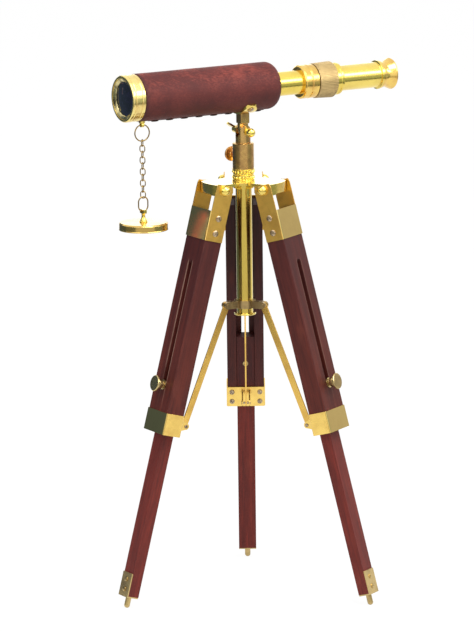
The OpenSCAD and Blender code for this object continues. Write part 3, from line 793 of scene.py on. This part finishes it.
@dataclass(frozen=True)
class BlackenedBore:
    """Brass outside a given radius round the telescope's axis, lamp black inside it."""

    name: str
    axis_height: float
    radius: float
    brass: Brass
    soot: Colour = srgb(14, 13, 12)
    dust: Colour = srgb(30, 28, 26)

    def build(self) -> bpy.types.Material:
        """Make the material: polished outside, dusty soot inside."""
        material, paint = new_paint(self.name)
        here = paint.place()
        _, across, up = paint.axes(here)
        from_axis = (across ** 2.0 + (up - self.axis_height) ** 2.0) ** 0.5
        inside = from_axis < self.radius
        clouds = paint.clouds(here, self.brass.spread)
        dust = paint.noise(here, 900, 2, 0.6)
        tint = paint.mix(clouds * self.brass.tarnish, self.brass.colour, self.brass.shade)
        black = paint.mix(dust, self.soot, self.dust)
        paint.surface(
            Base_Color=paint.mix(inside, tint, black),
            Metallic=1 - inside,
            Roughness=inside * 0.6 + self.brass.rough + clouds * 0.08,
            Normal=paint.bump(dust, 0.02, 0.3),
        )
        return material


@dataclass(frozen=True)
class Wood:
    """Dark varnished hardwood with its grain down one leg.

    The wood darkens over a range of heights towards the top, in a colour that its dark
    specks share; on the sliders this darkening is painted shade where they run into the
    channel. The chafed rim of the slot reaches inwards and outwards from its edge, and runs
    between two stations down the leg, fading in and out. All are in mm.
    """

    name: str
    leg: LegFrame
    dark: Colour = srgb(66, 24, 20)
    mid: Colour = srgb(102, 40, 29)
    pale: Colour = srgb(150, 76, 58)
    worn: float = 0.25
    dark_top_and_speck_colour: Colour = srgb(62, 24, 28)
    darker_towards_top: tuple[float, float] = (160.0, 330.0)
    chafe: Colour = srgb(196, 160, 140)
    chafed_slot: float = 0.2
    slot_half_width: float = 3.0
    chafed_rim: tuple[float, float] = (0.6, 1.4)
    chafed_from: tuple[float, float] = (58.0, 64.0)
    chafed_to: tuple[float, float] = (185.0, 150.0)
    outer_face: tuple[float, float] = (7.1, 7.4)

    def slot_wear(self, paint: Paint, turned: Sock) -> Sock:
        """Find the rim of the slot on the outer face, where the clamp screw rubs.

        Args:
            paint: The material's tree.
            turned: The leg's turned coordinates.

        Returns:
            1 on the rubbed rim, else 0.
        """
        outward, aside, down = self.leg.ways(paint, turned)
        inner, outer = self.chafed_rim
        from_slot = aside.absolute() - self.slot_half_width * MM
        rim = from_slot.ramp(-inner * MM, 0.0) * from_slot.ramp(outer * MM, 0.0)
        for way, ends in (
            (down, self.chafed_from), (down, self.chafed_to), (outward, self.outer_face)
        ):
            rim = rim * way.ramp(ends[0] * MM, ends[1] * MM)
        return rim

    def build(self) -> bpy.types.Material:
        """Make the material: streaks along the leg, pores, rubbed places under varnish."""
        material, paint = new_paint(self.name)
        turned = self.leg.turned(paint)
        upright = paint.mapped(turned, Rotation=(0, math.radians(self.leg.splay), 0))

        def grain(scale: Triple, detail: float, rough: float = 0.6) -> Sock:
            """Noise that is stretched along the leg."""
            return paint.noise(paint.mapped(upright, Scale=scale), 1.0, detail, rough)

        broad = grain((190, 190, 14), 4)
        fine = grain((1000, 1000, 40), 3)
        pores = grain((2600, 2600, 150), 2, 0.5).ramp(0.60, 0.74)
        rubbed = grain((60, 90, 18), 3).ramp(0.56, 0.74)
        speck = grain((1400, 1400, 900), 2).ramp(0.62, 0.78)
        figure = (broad * 0.5 + fine * 0.5).ramp(0.3, 0.7)
        tint = paint.mix(figure, self.dark, self.mid)
        tint = paint.mix(rubbed * self.worn, tint, self.pale)
        tint = paint.mix(pores * 0.5, tint, self.dark)
        # Darker towards the top, with dark specks; on the sliders this is painted shade inside
        # the channel.
        _, _, height = paint.axes(turned)
        darker_towards_top = height.ramp(self.darker_towards_top[0] * MM, self.darker_towards_top[1] * MM)
        tint = paint.mix(darker_towards_top * 0.62 + speck * 0.2, tint, self.dark_top_and_speck_colour)
        chafed = self.slot_wear(paint, turned) * (broad * 0.7 + fine * 0.5).ramp(0.4, 0.75)
        paint.surface(
            Base_Color=paint.mix(chafed * self.chafed_slot, tint, self.chafe),
            Roughness=0.5 + fine * 0.1 + rubbed * 0.1,
            Specular_IOR_Level=0.22,
            Coat_Weight=0.06,
            Coat_Roughness=0.25,
            Normal=paint.bump(fine * 0.6 - pores, 0.08, 0.4),
        )
        return material


@dataclass(frozen=True)
class Leather:
    """Reddish brown hide pulled over the barrel, darker where it folds in, with painted shade
    along its underside and a painted highlight along its top.
    """

    name: str
    axis_height: float
    front: float
    rear: float
    radius: float
    dark: Colour = srgb(60, 24, 24)
    mid: Colour = srgb(98, 37, 33)
    pale: Colour = srgb(166, 74, 60)

    def build(self) -> bpy.types.Material:
        """Make the material: pebbled grain, mottled dye, darkened ends, painted shade underneath
        and a painted highlight on top.
        """
        material, paint = new_paint(self.name)
        here = paint.place()
        along, _, up = paint.axes(here)
        clouds = paint.noise(here, 48, 4, 0.6)
        blots = paint.noise(here, 190, 3, 0.6)
        grain = paint.cells(here, 1500).ramp(0.0, 0.35)
        crease = paint.noise(paint.place((0, 0, 0.5), (260, 900, 900)), 1.0, 3, 0.6)
        mottle = (clouds * 0.7 + blots * 0.3).ramp(0.28, 0.66)
        tint = paint.mix(mottle * 0.45 + 0.55, self.dark, self.mid)
        rubbed = (clouds * 0.5 + crease * 0.5).ramp(0.44, 0.66)
        # Pale rubbed patches, stronger towards the top: the extra pale on top is a painted
        # highlight.
        painted_top_highlight = (up - self.axis_height).ramp(self.radius * 0.1, self.radius * 0.9)
        tint = paint.mix(rubbed * (painted_top_highlight * 0.5 + 0.2), tint, self.pale)
        spots = paint.noise(here, 520, 2, 0.5).ramp(0.66, 0.8)
        tint = paint.mix(spots * 0.35, tint, self.dark)
        front_end = (self.front - along).ramp(5.5 * MM, 0.5 * MM)
        rear_end = (along - self.rear).ramp(4.5 * MM, 0.0)
        # Painted shade along the underside, joined with the darker ends.
        under = (self.axis_height - up).ramp(self.radius * -0.35, self.radius)
        dark_ends_and_underside_shade = (front_end.larger(rear_end) * 0.75).larger(under * 0.45)
        tint = paint.mix(dark_ends_and_underside_shade, tint, self.dark)
        tint = paint.mix((1 - grain) * 0.15, tint, self.dark)
        paint.surface(
            Base_Color=tint,
            Roughness=0.48 + (1 - grain) * 0.2 + blots * 0.08,
            Specular_IOR_Level=0.3,
            Normal=paint.bump(grain * 0.6 + crease * 0.5, 0.12, 0.5),
        )
        return material


@dataclass(frozen=True)
class Thread:
    """Waxed sewing thread, twisted."""

    name: str = "waxed_thread"
    colour: Colour = srgb(36, 22, 18)
    worn: Colour = srgb(74, 48, 36)

    def build(self) -> bpy.types.Material:
        """Make the material: a fine twist along the thread."""
        material, paint = new_paint(self.name)
        twist = paint.noise(paint.place((0, 0.6, 0), (3200, 900, 900)), 1.0, 2, 0.5)
        paint.surface(
            Base_Color=paint.mix(twist, self.colour, self.worn),
            Roughness=0.6,
            Normal=paint.bump(twist, 0.08, 0.5),
        )
        return material


@dataclass(frozen=True)
class Glass:
    """Coated lens glass, dark because the tube behind it is black."""

    name: str
    tint: Colour = srgb(14, 15, 30)
    bloom: Colour = srgb(34, 28, 62)

    def build(self) -> bpy.types.Material:
        """Make the material: a dark body under a clear polished face."""
        material, paint = new_paint(self.name)
        haze = paint.noise(paint.place(), 90, 3, 0.5)
        paint.surface(
            Base_Color=paint.mix(haze.ramp(0.35, 0.7), self.tint, self.bloom),
            Roughness=0.03 + haze * 0.02,
            Coat_Weight=1.0,
            Coat_Roughness=0.02,
            Transmission_Weight=0.8,
            IOR=1.5,
        )
        return material


# The studio


WHITE = (1.0, 1.0, 1.0, 1.0)
PALE_GREY = (0.86, 0.86, 0.86, 1.0)
PALE_GREEN = (0.86, 1.0, 0.92, 1.0)
SKY_BLUE = (0.55, 0.74, 1.0, 1.0)
ROSE = (1.0, 0.3, 0.35, 1.0)
CREAM = (1.0, 0.94, 0.82, 1.0)
PINKISH = (1.0, 0.93, 0.86, 1.0)
LAMP_WHITE = (1.0, 0.99, 0.95, 1.0)


def heading(azimuth: float, elevation: float) -> Vector:
    """Unit vector towards a direction that is given in degrees."""
    az, el = math.radians(azimuth), math.radians(elevation)
    return Vector((math.cos(az) * math.cos(el), math.sin(az) * math.cos(el), math.sin(el)))


@dataclass(frozen=True)
class Lamp:
    """One soft lamp that points at the telescope: degrees, metres and watts."""

    name: str
    azimuth: float
    elevation: float
    size: float
    power: float
    aim_height: float = 0.25
    distance: float = 2.2

    def build(self) -> None:
        """Hang the lamp."""
        data = bpy.data.lights.new(self.name, "AREA")
        data.shape = "SQUARE"
        data.size = self.size
        data.energy = self.power
        lamp = bpy.data.objects.new(self.name, data)
        bpy.context.scene.collection.objects.link(lamp)
        way = heading(self.azimuth, self.elevation)
        lamp.location = Vector((0, 0, self.aim_height)) + way * self.distance
        lamp.rotation_euler = way.to_track_quat("Z", "Y").to_euler()


@dataclass(frozen=True)
class Card:
    """A curved card that only polished surfaces see, as photographers stand round a subject.

    Its azimuth and width are in degrees, its edges and distance in metres. Shade says how
    light it is, and upper how light its upper part is where that differs.
    """

    name: str
    azimuth: float
    width: float
    low: float
    high: float
    shade: float
    upper: float | None = None
    distance: float = 0.8
    hue: Colour = PALE_GREEN
    upper_part: tuple[float, float] = (0.13, 0.25)

    def build(self) -> None:
        """Stand the card."""
        deselect()
        bpy.ops.mesh.primitive_plane_add(size=1.0)
        card = bpy.context.object
        card.name = self.name
        edit(card)
        bpy.ops.mesh.subdivide(number_cuts=11)
        bpy.ops.object.mode_set(mode="OBJECT")
        for vertex in card.data.vertices:
            place = heading(self.azimuth + vertex.co.x * self.width, 0) * self.distance
            place.z = self.low + (vertex.co.y + 0.5) * (self.high - self.low)
            vertex.co = place
        material, paint = new_paint(f"{self.name}_card")
        _, _, rise = paint.axes(paint.place())
        level = paint.noise(paint.place(), 0.8, 1, 0.4) * 0.02 + self.shade
        if self.upper is not None:
            level = level + rise.ramp(*self.upper_part) * (self.upper - self.shade)
        glow = {"Color": self.hue, "Strength": level}
        paint.show(paint.node("ShaderNodeEmission", None, glow))
        card.data.materials.append(material)
        card.visible_camera = False
        card.visible_diffuse = False
        card.visible_shadow = False
        card.visible_transmission = False


@dataclass
class Studio:
    """A pale floor, a white surround, soft lamps and the camera of the photograph.

    The camera looks past a point on the column's axis, from a direction in degrees. Half
    the picture's height spans half_seen at that point. Lengths are in mm, but the camera's
    distance and the floor's side are in metres. The surround shines more where it is seen
    than where it only lights, and the floor is mostly a glow where it is seen.
    """

    target_height: float = 337.378
    azimuth: float = 60.0
    elevation: float = 11.0
    roll: float = 0.7
    distance: float = 4.0
    half_seen: float = 252.8
    right_of_target: float = 5.2
    above_target: float = 109.2
    floor_size: float = 60.0
    floor_glow: float = 1.06
    glow_share: float = 0.88
    surround_light: float = 0.58
    more_where_seen: float = 0.55
    lamps: tuple[Lamp, ...] = (
        Lamp("key_lamp", 95, 62, size=1.3, power=34),
        Lamp("fill_lamp", 20, 30, size=1.6, power=10),
    )
    cards: tuple[Card, ...] = (
        Card("side_card", -60, 66, 0.0, 0.72, shade=0.15, hue=SKY_BLUE),
        Card("front_card", -2, 50, 0.05, 0.5, shade=0.2),
        Card("low_card", 134, 52, 0.05, 0.47, shade=0.16, upper=0.5),
        Card("rose_card", -56.4, 0.5, 0.34, 0.39, shade=0.7, distance=0.78, hue=ROSE),
        Card("pale_card", -55.7, 0.25, 0.34, 0.39, shade=0.9, distance=0.78),
        Card("mid_card", 66, 84, 0.0, 0.235, shade=0.6, hue=CREAM),
        Card("far_card", 180, 36, 0.12, 0.45, shade=0.64, hue=PINKISH),
        Card("soft_box", 120, 70, 1.05, 1.75, shade=7.0, distance=1.9, hue=LAMP_WHITE),
        Card("back_box", 240, 60, 0.6, 0.95, shade=2.6, distance=1.9, hue=LAMP_WHITE),
    )

    def directions(self) -> tuple[Vector, Vector, Vector]:
        """Work out the camera's right, up and backward directions."""
        roll = math.radians(self.roll)
        back = heading(self.azimuth, self.elevation)
        flat = heading(self.azimuth + 90, 0)
        rise = back.cross(flat)
        right = flat * math.cos(roll) - rise * math.sin(roll)
        up = flat * math.sin(roll) + rise * math.cos(roll)
        return right, up, back

    def camera(self) -> None:
        """Place the camera."""
        right, up, back = self.directions()
        target = Vector((0, 0, self.target_height * MM))
        target -= right * self.right_of_target * MM + up * self.above_target * MM
        data = bpy.data.cameras.new("camera")
        data.sensor_fit = "VERTICAL"
        data.sensor_height = 24.0
        data.lens = data.sensor_height / 2 * self.distance / (self.half_seen * MM)
        camera = bpy.data.objects.new("camera", data)
        bpy.context.scene.collection.objects.link(camera)
        place = Matrix((right, up, back)).transposed().to_4x4()
        place.translation = target + back * self.distance
        camera.matrix_world = place
        data.clip_end = 200.0
        bpy.context.scene.camera = camera

    def surround(self) -> None:
        """Make the world white to the eye and in reflections, and softer as a light."""
        world = bpy.data.worlds.new("surround")
        bpy.context.scene.world = world
        world.use_nodes = True
        paint = Paint(world.node_tree)
        level = paint.seen() * self.more_where_seen + self.surround_light
        light = {"Color": WHITE, "Strength": level}
        paint.show(paint.node("ShaderNodeBackground", None, light), "World")

    def floor(self) -> None:
        """Lay the floor, which reads white and keeps the shadow."""
        deselect()
        bpy.ops.mesh.primitive_plane_add(size=self.floor_size, location=(0, 0, 0))
        floor = bpy.context.object
        floor.name = "floor"
        material, paint = new_paint("pale_floor")
        matt = paint.node("ShaderNodeBsdfDiffuse", None, {"Color": PALE_GREY})
        light = {"Color": WHITE, "Strength": self.floor_glow}
        glow = paint.node("ShaderNodeEmission", None, light)
        both = {0: paint.seen() * self.glow_share, 1: matt.outputs[0], 2: glow.outputs[0]}
        paint.show(paint.node("ShaderNodeMixShader", None, both))
        floor.data.materials.append(material)

    def build(self) -> None:
        """Set up everything that isn't the telescope."""
        bpy.context.scene.view_settings.view_transform = "Standard"
        self.camera()
        self.surround()
        self.floor()
        for piece in (*self.lamps, *self.cards):
            piece.build()
        LOG.info("studio ready")


# Sub-assemblies


@dataclass
class SubAssembly:
    """A group of nodes and pieces that is modelled and dressed together."""

    frame: Mapping[str, Any]
    finishes: Mapping[Slot, bpy.types.Material]

    def slot_of(self, node: str) -> Slot:
        """Look up a node's material slot."""
        rows = self.frame["record"]["subparts"]
        return Slot(next(row["material_slot"] for row in rows if row["node"] == node))

    def body_of(self, node: str) -> str:
        """Look up the body that a node belongs to."""
        bodies = self.frame["record"]["behaviour"]["bodies"]
        return next(name for name, nodes in bodies.items() if node in nodes)

    def finish_of(self, node: str) -> bpy.types.Material:
        """Choose the finish of a node's slot."""
        return self.finishes[self.slot_of(node)]

    def dress(self, node: str, material: bpy.types.Material | None = None) -> None:
        """Give a CAD node its finish.

        Args:
            node: The node's name.
            material: Another finish than its slot's.
        """
        finish = material or self.finish_of(node)
        slots = self.frame["nodes"][node].material_slots
        if not slots:
            self.frame["nodes"][node].data.materials.append(finish)
        for slot in slots:
            slot.material = finish
        LOG.info("%s: CAD solid in %s", node, finish.name)

    def place(
        self, piece: bpy.types.Object, node: str, material: bpy.types.Material | None = None,
        stands_for: bool = True,
    ) -> bpy.types.Object:
        """Finish a piece: its material, from the node's slot unless one is given, its body, and
        the node that it stands for hidden.

        Args:
            piece: The piece.
            node: The node that it stands for or goes with.
            material: Another finish than the node's slot's.
            stands_for: Whether it replaces the node.

        Returns:
            The piece.
        """
        finish = material or self.finish_of(node)
        piece.data.materials.clear()
        piece.data.materials.append(finish)
        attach(piece, self.body_of(node))
        if stands_for:
            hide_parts(node)
        LOG.info(
            "%s: %d faces in %s on %s", piece.name, len(piece.data.polygons), finish.name,
            self.body_of(node),
        )
        return piece

    def refine(
        self, node: str, width: float = 0.2, degrees: float = 35,
        material: bpy.types.Material | None = None,
    ) -> bpy.types.Object:
        """Stand a copy with broken edges in a CAD node's place.

        Args:
            node: The node's name.
            width: Width of the broken edge, in mm.
            degrees: Edges sharper than this are broken.
            material: Another finish than the node's slot's.

        Returns:
            The piece.
        """
        return self.place(soften(self.frame, node, width, degrees), node, material)


@dataclass
class Barrel(SubAssembly):
    """The leather covered barrel with its objective and its sewn seam, in mm and degrees."""

    axis: float = 411.678
    radius: float = 19.1
    front: float = 98.0
    rear: float = -28.5
    corner: float = 8.0
    thickness: float = 1.2
    opening: float = 10.0
    bore_radius: float = 17.1
    waviness: float = 0.35
    wave_size: float = 22.0
    lap_turn: float = 4.0
    stitch_turn: float = 9.0
    seam_front: float = 87.0
    seam_rear: float = -19.0
    seam_width: float = 10.5
    lap_height: float = 0.42
    first_stitch: float = 82.0
    last_stitch: float = -16.5
    stitch_pitch: float = 13.4
    stitch_count: int = 9
    stitch_size: Triple = (3.7, 0.62, 0.55)
    stitch_slant: float = -7.0
    saddle_reach: float = 9.5

    def to_axis(self) -> Matrix:
        """Matrix from the lathe's axis to the telescope's."""
        return Matrix.Translation((0, 0, self.axis * MM))

    def rounded(
        self, radius: float, start: float, end: float, steps: int
    ) -> list[tuple[float, float]]:
        """Points round the cover's rear corner.

        Args:
            radius: Radius of this face of the hide.
            start: First angle, 0 being outwards and 90 to the rear.
            end: Last angle.
            steps: Steps between them.

        Returns:
            Radius and station of each point.
        """
        points = []
        for i in range(steps + 1):
            turn = math.radians(start + (end - start) * i / steps)
            out, back = radius * math.cos(turn), radius * math.sin(turn)
            points.append((self.radius - self.corner + out, self.rear + self.corner - back))
        return points

    def cover(self) -> bpy.types.Object:
        """Turn the leather tube, its front edge rolled and its rear corner rounded.

        Returns:
            The cover.
        """
        r, t, c = self.radius, self.thickness, self.corner
        profile = [(r - 0.9, self.front - 0.05), (r - 0.35, self.front - 0.2)]
        profile += [(r, self.front - 0.9)]
        start, rings = self.front - 2.0, 42
        length = start - (self.rear + c)
        profile += [(r, start - length * i / rings) for i in range(rings)]
        profile += self.rounded(c, 0, 90, 12)
        profile += [(self.opening + 0.4, self.rear), (self.opening, self.rear + 0.35)]
        profile += [(self.opening, self.rear + t)]
        profile += self.rounded(c - t, 90, 0, 6)
        profile += [(r - t, self.front - 1.0), profile[0]]
        cover = spun("leather_sleeve", profile, 120)
        waves = bpy.data.textures.new("hide_waves", "CLOUDS")
        waves.noise_scale = self.wave_size * MM
        waves.noise_depth = 2
        modify(
            cover, "DISPLACE", texture=waves, texture_coords="LOCAL",
            strength=self.waviness * MM, mid_level=0.95,
        )
        move_mesh(cover, self.to_axis())
        smooth(cover, 50)
        return cover

    def seam(self) -> bpy.types.Object:
        """Lap the hide's edge along the underside.

        Returns:
            The lap.
        """
        low, high = self.seam_rear, self.seam_front
        foot, top = self.radius - 0.3, self.radius + self.lap_height
        deselect()
        bpy.ops.mesh.primitive_plane_add(size=1.0)
        lap = bpy.context.object
        lap.name = lap.data.name = "leather_lap"
        corners_of_lap = ((low, foot), (high, foot), (low + 0.4, top), (high - 0.4, top))
        for vertex, (station, height) in zip(lap.data.vertices, corners_of_lap):
            vertex.co = (station * MM, 0.0, -height * MM)
        edit(lap)
        bpy.ops.mesh.subdivide(number_cuts=15)
        bpy.ops.mesh.spin(
            steps=8, angle=math.radians(self.seam_width), center=(0, 0, 0), axis=(1, 0, 0),
            use_normal_flip=False,
        )
        bpy.ops.object.mode_set(mode="OBJECT")
        merge(lap)
        modify(lap, "BEVEL", width=0.22 * MM, segments=2, limit_method="ANGLE", angle_limit=0.8)
        turn = Matrix.Rotation(math.radians(self.lap_turn), 4, "X")
        move_mesh(lap, self.to_axis() @ turn)
        merge(lap)
        smooth(lap, 40)
        return lap

    def stitches(self) -> bpy.types.Object:
        """Sew coarse stitches along the lap.

        Returns:
            The stitches.
        """
        made = []
        deselect()
        bpy.ops.mesh.primitive_uv_sphere_add(segments=12, ring_count=8, radius=1.0 * MM)
        first = bpy.context.object
        first.scale = self.stitch_size
        settle(first)
        turn_mesh(first, self.stitch_slant, "Z")
        turn = Matrix.Rotation(math.radians(self.stitch_turn), 4, "X")
        below = self.radius + self.stitch_size[2]
        for number in range(self.stitch_count):
            station = self.first_stitch - self.stitch_pitch * number
            if abs(station) < self.saddle_reach or station < self.last_stitch:
                continue
            stitch = copy_mesh(first, f"stitch_{number}")
            shift = Matrix.Translation((station * MM, 0, -below * MM))
            move_mesh(stitch, self.to_axis() @ turn @ shift)
            made.append(stitch)
        bpy.data.objects.remove(first)
        thread = join("seam_stitches", made)
        smooth(thread, 60)
        return thread

    def build(self) -> None:
        """Model and dress the barrel."""
        self.place(self.cover(), "leather_cover")
        self.place(self.seam(), "leather_cover", stands_for=False)
        self.place(self.stitches(), "leather_cover", Thread().build(), stands_for=False)
        bore = BlackenedBore(
            "blackened_bore", self.axis * MM, self.bore_radius * MM, Brass("bore_brass")
        )
        self.dress("barrel_tube", bore.build())
        pale = Brass(
            "pale_brass", srgb(244, 224, 142), srgb(202, 152, 92),
            rough=0.15, tarnish=0.5, spread=120,
        ).build()
        self.refine("objective_cell", 0.18, material=pale)
        # The near-black clouds on the retaining ring are painted dark reflections.
        worn = Brass(
            "ring_with_painted_dark_reflections", srgb(236, 220, 160), srgb(20, 22, 20),
            rough=0.16, tarnish=1.0, spread=105,
        ).build()
        self.refine("lens_retaining_ring", 0.12, material=worn)
        self.refine("objective_lens", 0.05, 60)
        self.refine("rear_bush", 0.12)
        self.refine("chain_boss", 0.15)


@dataclass
class Eyepiece(SubAssembly):
    """Draw tube, collar, focusing ring and the sliding eyepiece, in mm."""

    axis: float = Barrel.axis
    band: float = -81.6
    draw_radius: float = 9.7
    wall: float = 0.8

    def build(self) -> None:
        """Model and dress the pieces behind the barrel."""
        inside = self.draw_radius - self.wall + 0.1
        bore = BlackenedBore(
            "blackened_draw", self.axis * MM, inside * MM, Brass("draw_brass", lacquer=0.5)
        )
        self.dress("draw_tube", bore.build())
        self.dress("erector_lens")
        warm = Brass(
            "warm_brass", srgb(240, 204, 112), srgb(196, 142, 82),
            rough=0.15, tarnish=0.6, spread=95,
        ).build()
        self.refine("focus_collar", 0.2, material=warm)
        grip = KnurledRing("knurled_ring", self.band * MM).build()
        self.refine("focus_ring", 0.1, 50, grip)
        self.refine("eyepiece_tube", 0.15)
        self.refine("eyecup", 0.25, material=warm)
        self.refine("eye_lens", 0.05, 60)


@dataclass
class CapAndChain(SubAssembly):
    """The lens cap on its chain."""

    def build(self) -> None:
        """Dress the rings and the chain and break the cap's edges."""
        for node in ("split_ring", "chain_links", "cap_ring"):
            self.dress(node)
        self.refine("cap_finial", 0.15)
        cap = Brass(
            "cap_brass", srgb(232, 200, 116), srgb(170, 124, 72), rough=0.14, tarnish=0.6
        ).build()
        self.refine("lens_cap", material=cap)


@dataclass
class Mount(SubAssembly):
    """Saddle, tilting head and socket."""

    def build(self) -> None:
        """Model and dress the mount."""
        bronze = Brass(
            "bronzed_brass", srgb(206, 168, 102), srgb(128, 90, 64),
            rough=0.24, tarnish=0.85, spread=75,
        ).build()
        self.refine("saddle_plate", 0.3)
        self.refine("saddle_screws", 0.12, material=Screw().build())
        self.refine("tilt_tongue", 0.5, material=bronze)
        self.refine("tilt_bolt", 0.15)
        self.refine("wing_nut", 0.6)
        self.refine("swivel_stem", 0.45, material=bronze)
        self.refine("socket", 0.25, material=bronze)
        copper = Brass(
            "coppery_brass", srgb(226, 172, 98), srgb(176, 112, 62),
            rough=0.26, tarnish=0.8, spread=140,
        ).build()
        self.refine("socket_thumb_screw", material=copper)
        self.refine("knurled_ring_nut", 0.15)


@dataclass
class Head(SubAssembly):
    """The three-lobed casting, the column and the sliding brace collar."""

    def build(self) -> None:
        """Model and dress the head."""
        self.refine("head_plate", 0.6)
        self.dress("column_tube")
        self.refine("column_flange")
        dull = Brass(
            "dull_brass", srgb(196, 170, 118), srgb(128, 104, 72), rough=0.26, tarnish=0.8
        ).build()
        self.refine("brace_collar", 0.45, material=dull)
        self.refine("brace_pins", material=dull)


@dataclass
class Leg(SubAssembly):
    """One folding leg, modelled where it stands, in mm and degrees."""

    number: int = 1
    half_thickness: float = 7.7
    half_width: float = 15.0
    sheet: float = 0.8
    fold_radius: float = 1.3
    slot_blade: Triple = (0.9, 12.0, 0.7)
    slot_turn: float = 38.0

    @property
    def leg(self) -> LegFrame:
        """The leg's own frame."""
        return LegFrame(120.0 * (self.number - 1))

    def folded(self, node: str, both: bool) -> bpy.types.Object:
        """Copy a sheet metal node and round the folds that run along the leg.

        Args:
            node: The node's name.
            both: Whether the folds on the inner side are rounded too.

        Returns:
            The piece.
        """
        piece = copy_node(self.frame, node)
        move_mesh(piece, self.leg.home().inverted())
        dissolve_flat(piece)
        reach_x = (self.half_thickness + self.sheet) * MM
        reach_y = (self.half_width + self.sheet) * MM
        near = 0.03 * MM

        def on_fold(first: Vector, second: Vector) -> bool:
            """Tell the outer fold lines from the other edges."""
            if abs(first.y - second.y) > near or abs(first.x - second.x) > near:
                return False
            for end in (first, second):
                if abs(abs(end.y) - reach_y) > near:
                    return False
                if abs((abs(end.x) if both else end.x) - reach_x) > near:
                    return False
            return (first - second).length > 1 * MM

        count = pick_edges(piece, on_fold)
        if count:
            bpy.ops.mesh.bevel(
                offset=self.fold_radius * MM, segments=4, affect="EDGES", clamp_overlap=False
            )
        LOG.info("%s: %d folds rounded", node, count)
        bpy.ops.object.mode_set(mode="OBJECT")
        break_edges(piece, 0.16, 40)
        move_mesh(piece, self.leg.home())
        flatten(piece, 30)
        return piece

    def slotted_knob(self, node: str) -> bpy.types.Object:
        """Copy the clamp screw and cut the slot in the head on its inner end.

        Args:
            node: The node's name.

        Returns:
            The piece.
        """
        piece = soften(self.frame, node, 0.2)
        move_mesh(piece, self.leg.home().inverted())
        ends = [vertex.co for vertex in piece.data.vertices]
        inner = min(end.x for end in ends)
        head = [end for end in ends if end.x < inner + 0.1 * MM]
        height = (max(end.z for end in head) + min(end.z for end in head)) / 2
        deselect()
        bpy.ops.mesh.primitive_cube_add(size=1.0)
        blade = bpy.context.object
        blade.scale = Vector(self.slot_blade) * MM
        settle(blade)
        turn_mesh(blade, self.slot_turn, "X")
        move_mesh(blade, Matrix.Translation((inner, 0, height)))
        modify(piece, "BOOLEAN", object=blade, operation="DIFFERENCE", solver="EXACT")
        bpy.data.objects.remove(blade)
        move_mesh(piece, self.leg.home())
        flatten(piece)
        return piece

    def build(self) -> None:
        """Model and dress the leg."""
        prefix = f"leg_{self.number}"
        # Leg 1 is more chafed at its slot; leg 3, at the back, gets darker copies of the wood
        # colours, which are painted shade.
        wood_wear_and_shade_by_leg = {
            1: {"chafed_slot": 0.55},
            2: {},
            3: {"dark": srgb(58, 24, 23), "mid": srgb(88, 36, 31), "dark_top_and_speck_colour": srgb(34, 20, 26)},
        }
        upper = Wood(f"{prefix}_upper_wood", self.leg, **wood_wear_and_shade_by_leg[self.number]).build()
        # The slider's wood darkens between heights of 138 and 165 mm, painted shade where it runs
        # into the channel.
        lower = Wood(
            f"{prefix}_lower_wood", self.leg, srgb(84, 30, 26), srgb(128, 46, 36),
            dark_top_and_speck_colour=srgb(38, 24, 28), darker_towards_top=(138.0, 165.0), chafed_slot=0.0,
        ).build()
        strap = FoldedBrass(f"{prefix}_strap_brass", self.leg).build()
        bright = FoldedBrass(
            f"{prefix}_ferrule_brass", self.leg, srgb(250, 214, 118), srgb(206, 162, 84),
            rough=0.2,
        ).build()
        knob = Brass(
            f"{prefix}_knob_brass", srgb(206, 184, 128), srgb(136, 114, 78),
            rough=0.24, tarnish=0.7,
        ).build()
        shoe = Brass(
            f"{prefix}_shoe_brass", srgb(206, 180, 122), srgb(130, 108, 74),
            rough=0.3, tarnish=0.8,
        ).build()
        flat_bar = Brass(
            f"{prefix}_bar_brass", srgb(246, 202, 104), srgb(196, 148, 76),
            rough=0.24, tarnish=0.5,
        ).build()
        self.refine(f"{prefix}_channel", 0.8, 40, upper)
        self.refine(f"{prefix}_slider", 0.6, 40, lower)
        bracket, ferrule = f"{prefix}_top_bracket", f"{prefix}_ferrule"
        self.place(self.folded(bracket, False), bracket, strap)
        self.place(self.folded(ferrule, True), ferrule, bright)
        self.refine(f"{prefix}_fasteners", 0.12, material=Screw().build())
        self.refine(f"{prefix}_pivot_bolt")
        self.refine(f"{prefix}_foot", material=shoe)
        clamp = f"{prefix}_clamp_knob"
        self.place(self.slotted_knob(clamp), clamp, knob)
        self.refine(f"{prefix}_strut", 0.35, material=flat_bar)


# All together


def finishes() -> dict[Slot, bpy.types.Material]:
    """Make the finish of each slot whose nodes share one."""
    return {
        Slot.BRASS: Brass("aged_brass", lacquer=0.5).build(),
        Slot.CHAIN: Brass(
            "chain_brass", srgb(158, 130, 68), srgb(74, 62, 40), rough=0.2, tarnish=0.8
        ).build(),
        Slot.LEATHER: Leather(
            "stitched_hide", Barrel.axis * MM, Barrel.front * MM, Barrel.rear * MM,
            Barrel.radius * MM,
        ).build(),
        Slot.GLASS: Glass("coated_glass").build(),
    }


def main() -> None:
    """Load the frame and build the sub-assemblies."""
    logging.basicConfig(level=logging.INFO, format="%(name)s: %(message)s")
    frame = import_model()
    Studio().build()
    shared = finishes()
    for part in (Barrel, Eyepiece, CapAndChain, Mount, Head):
        part(frame, shared).build()
    for number in (1, 2, 3):
        Leg(frame, shared, number).build()


if __name__ == "__main__":
    main()
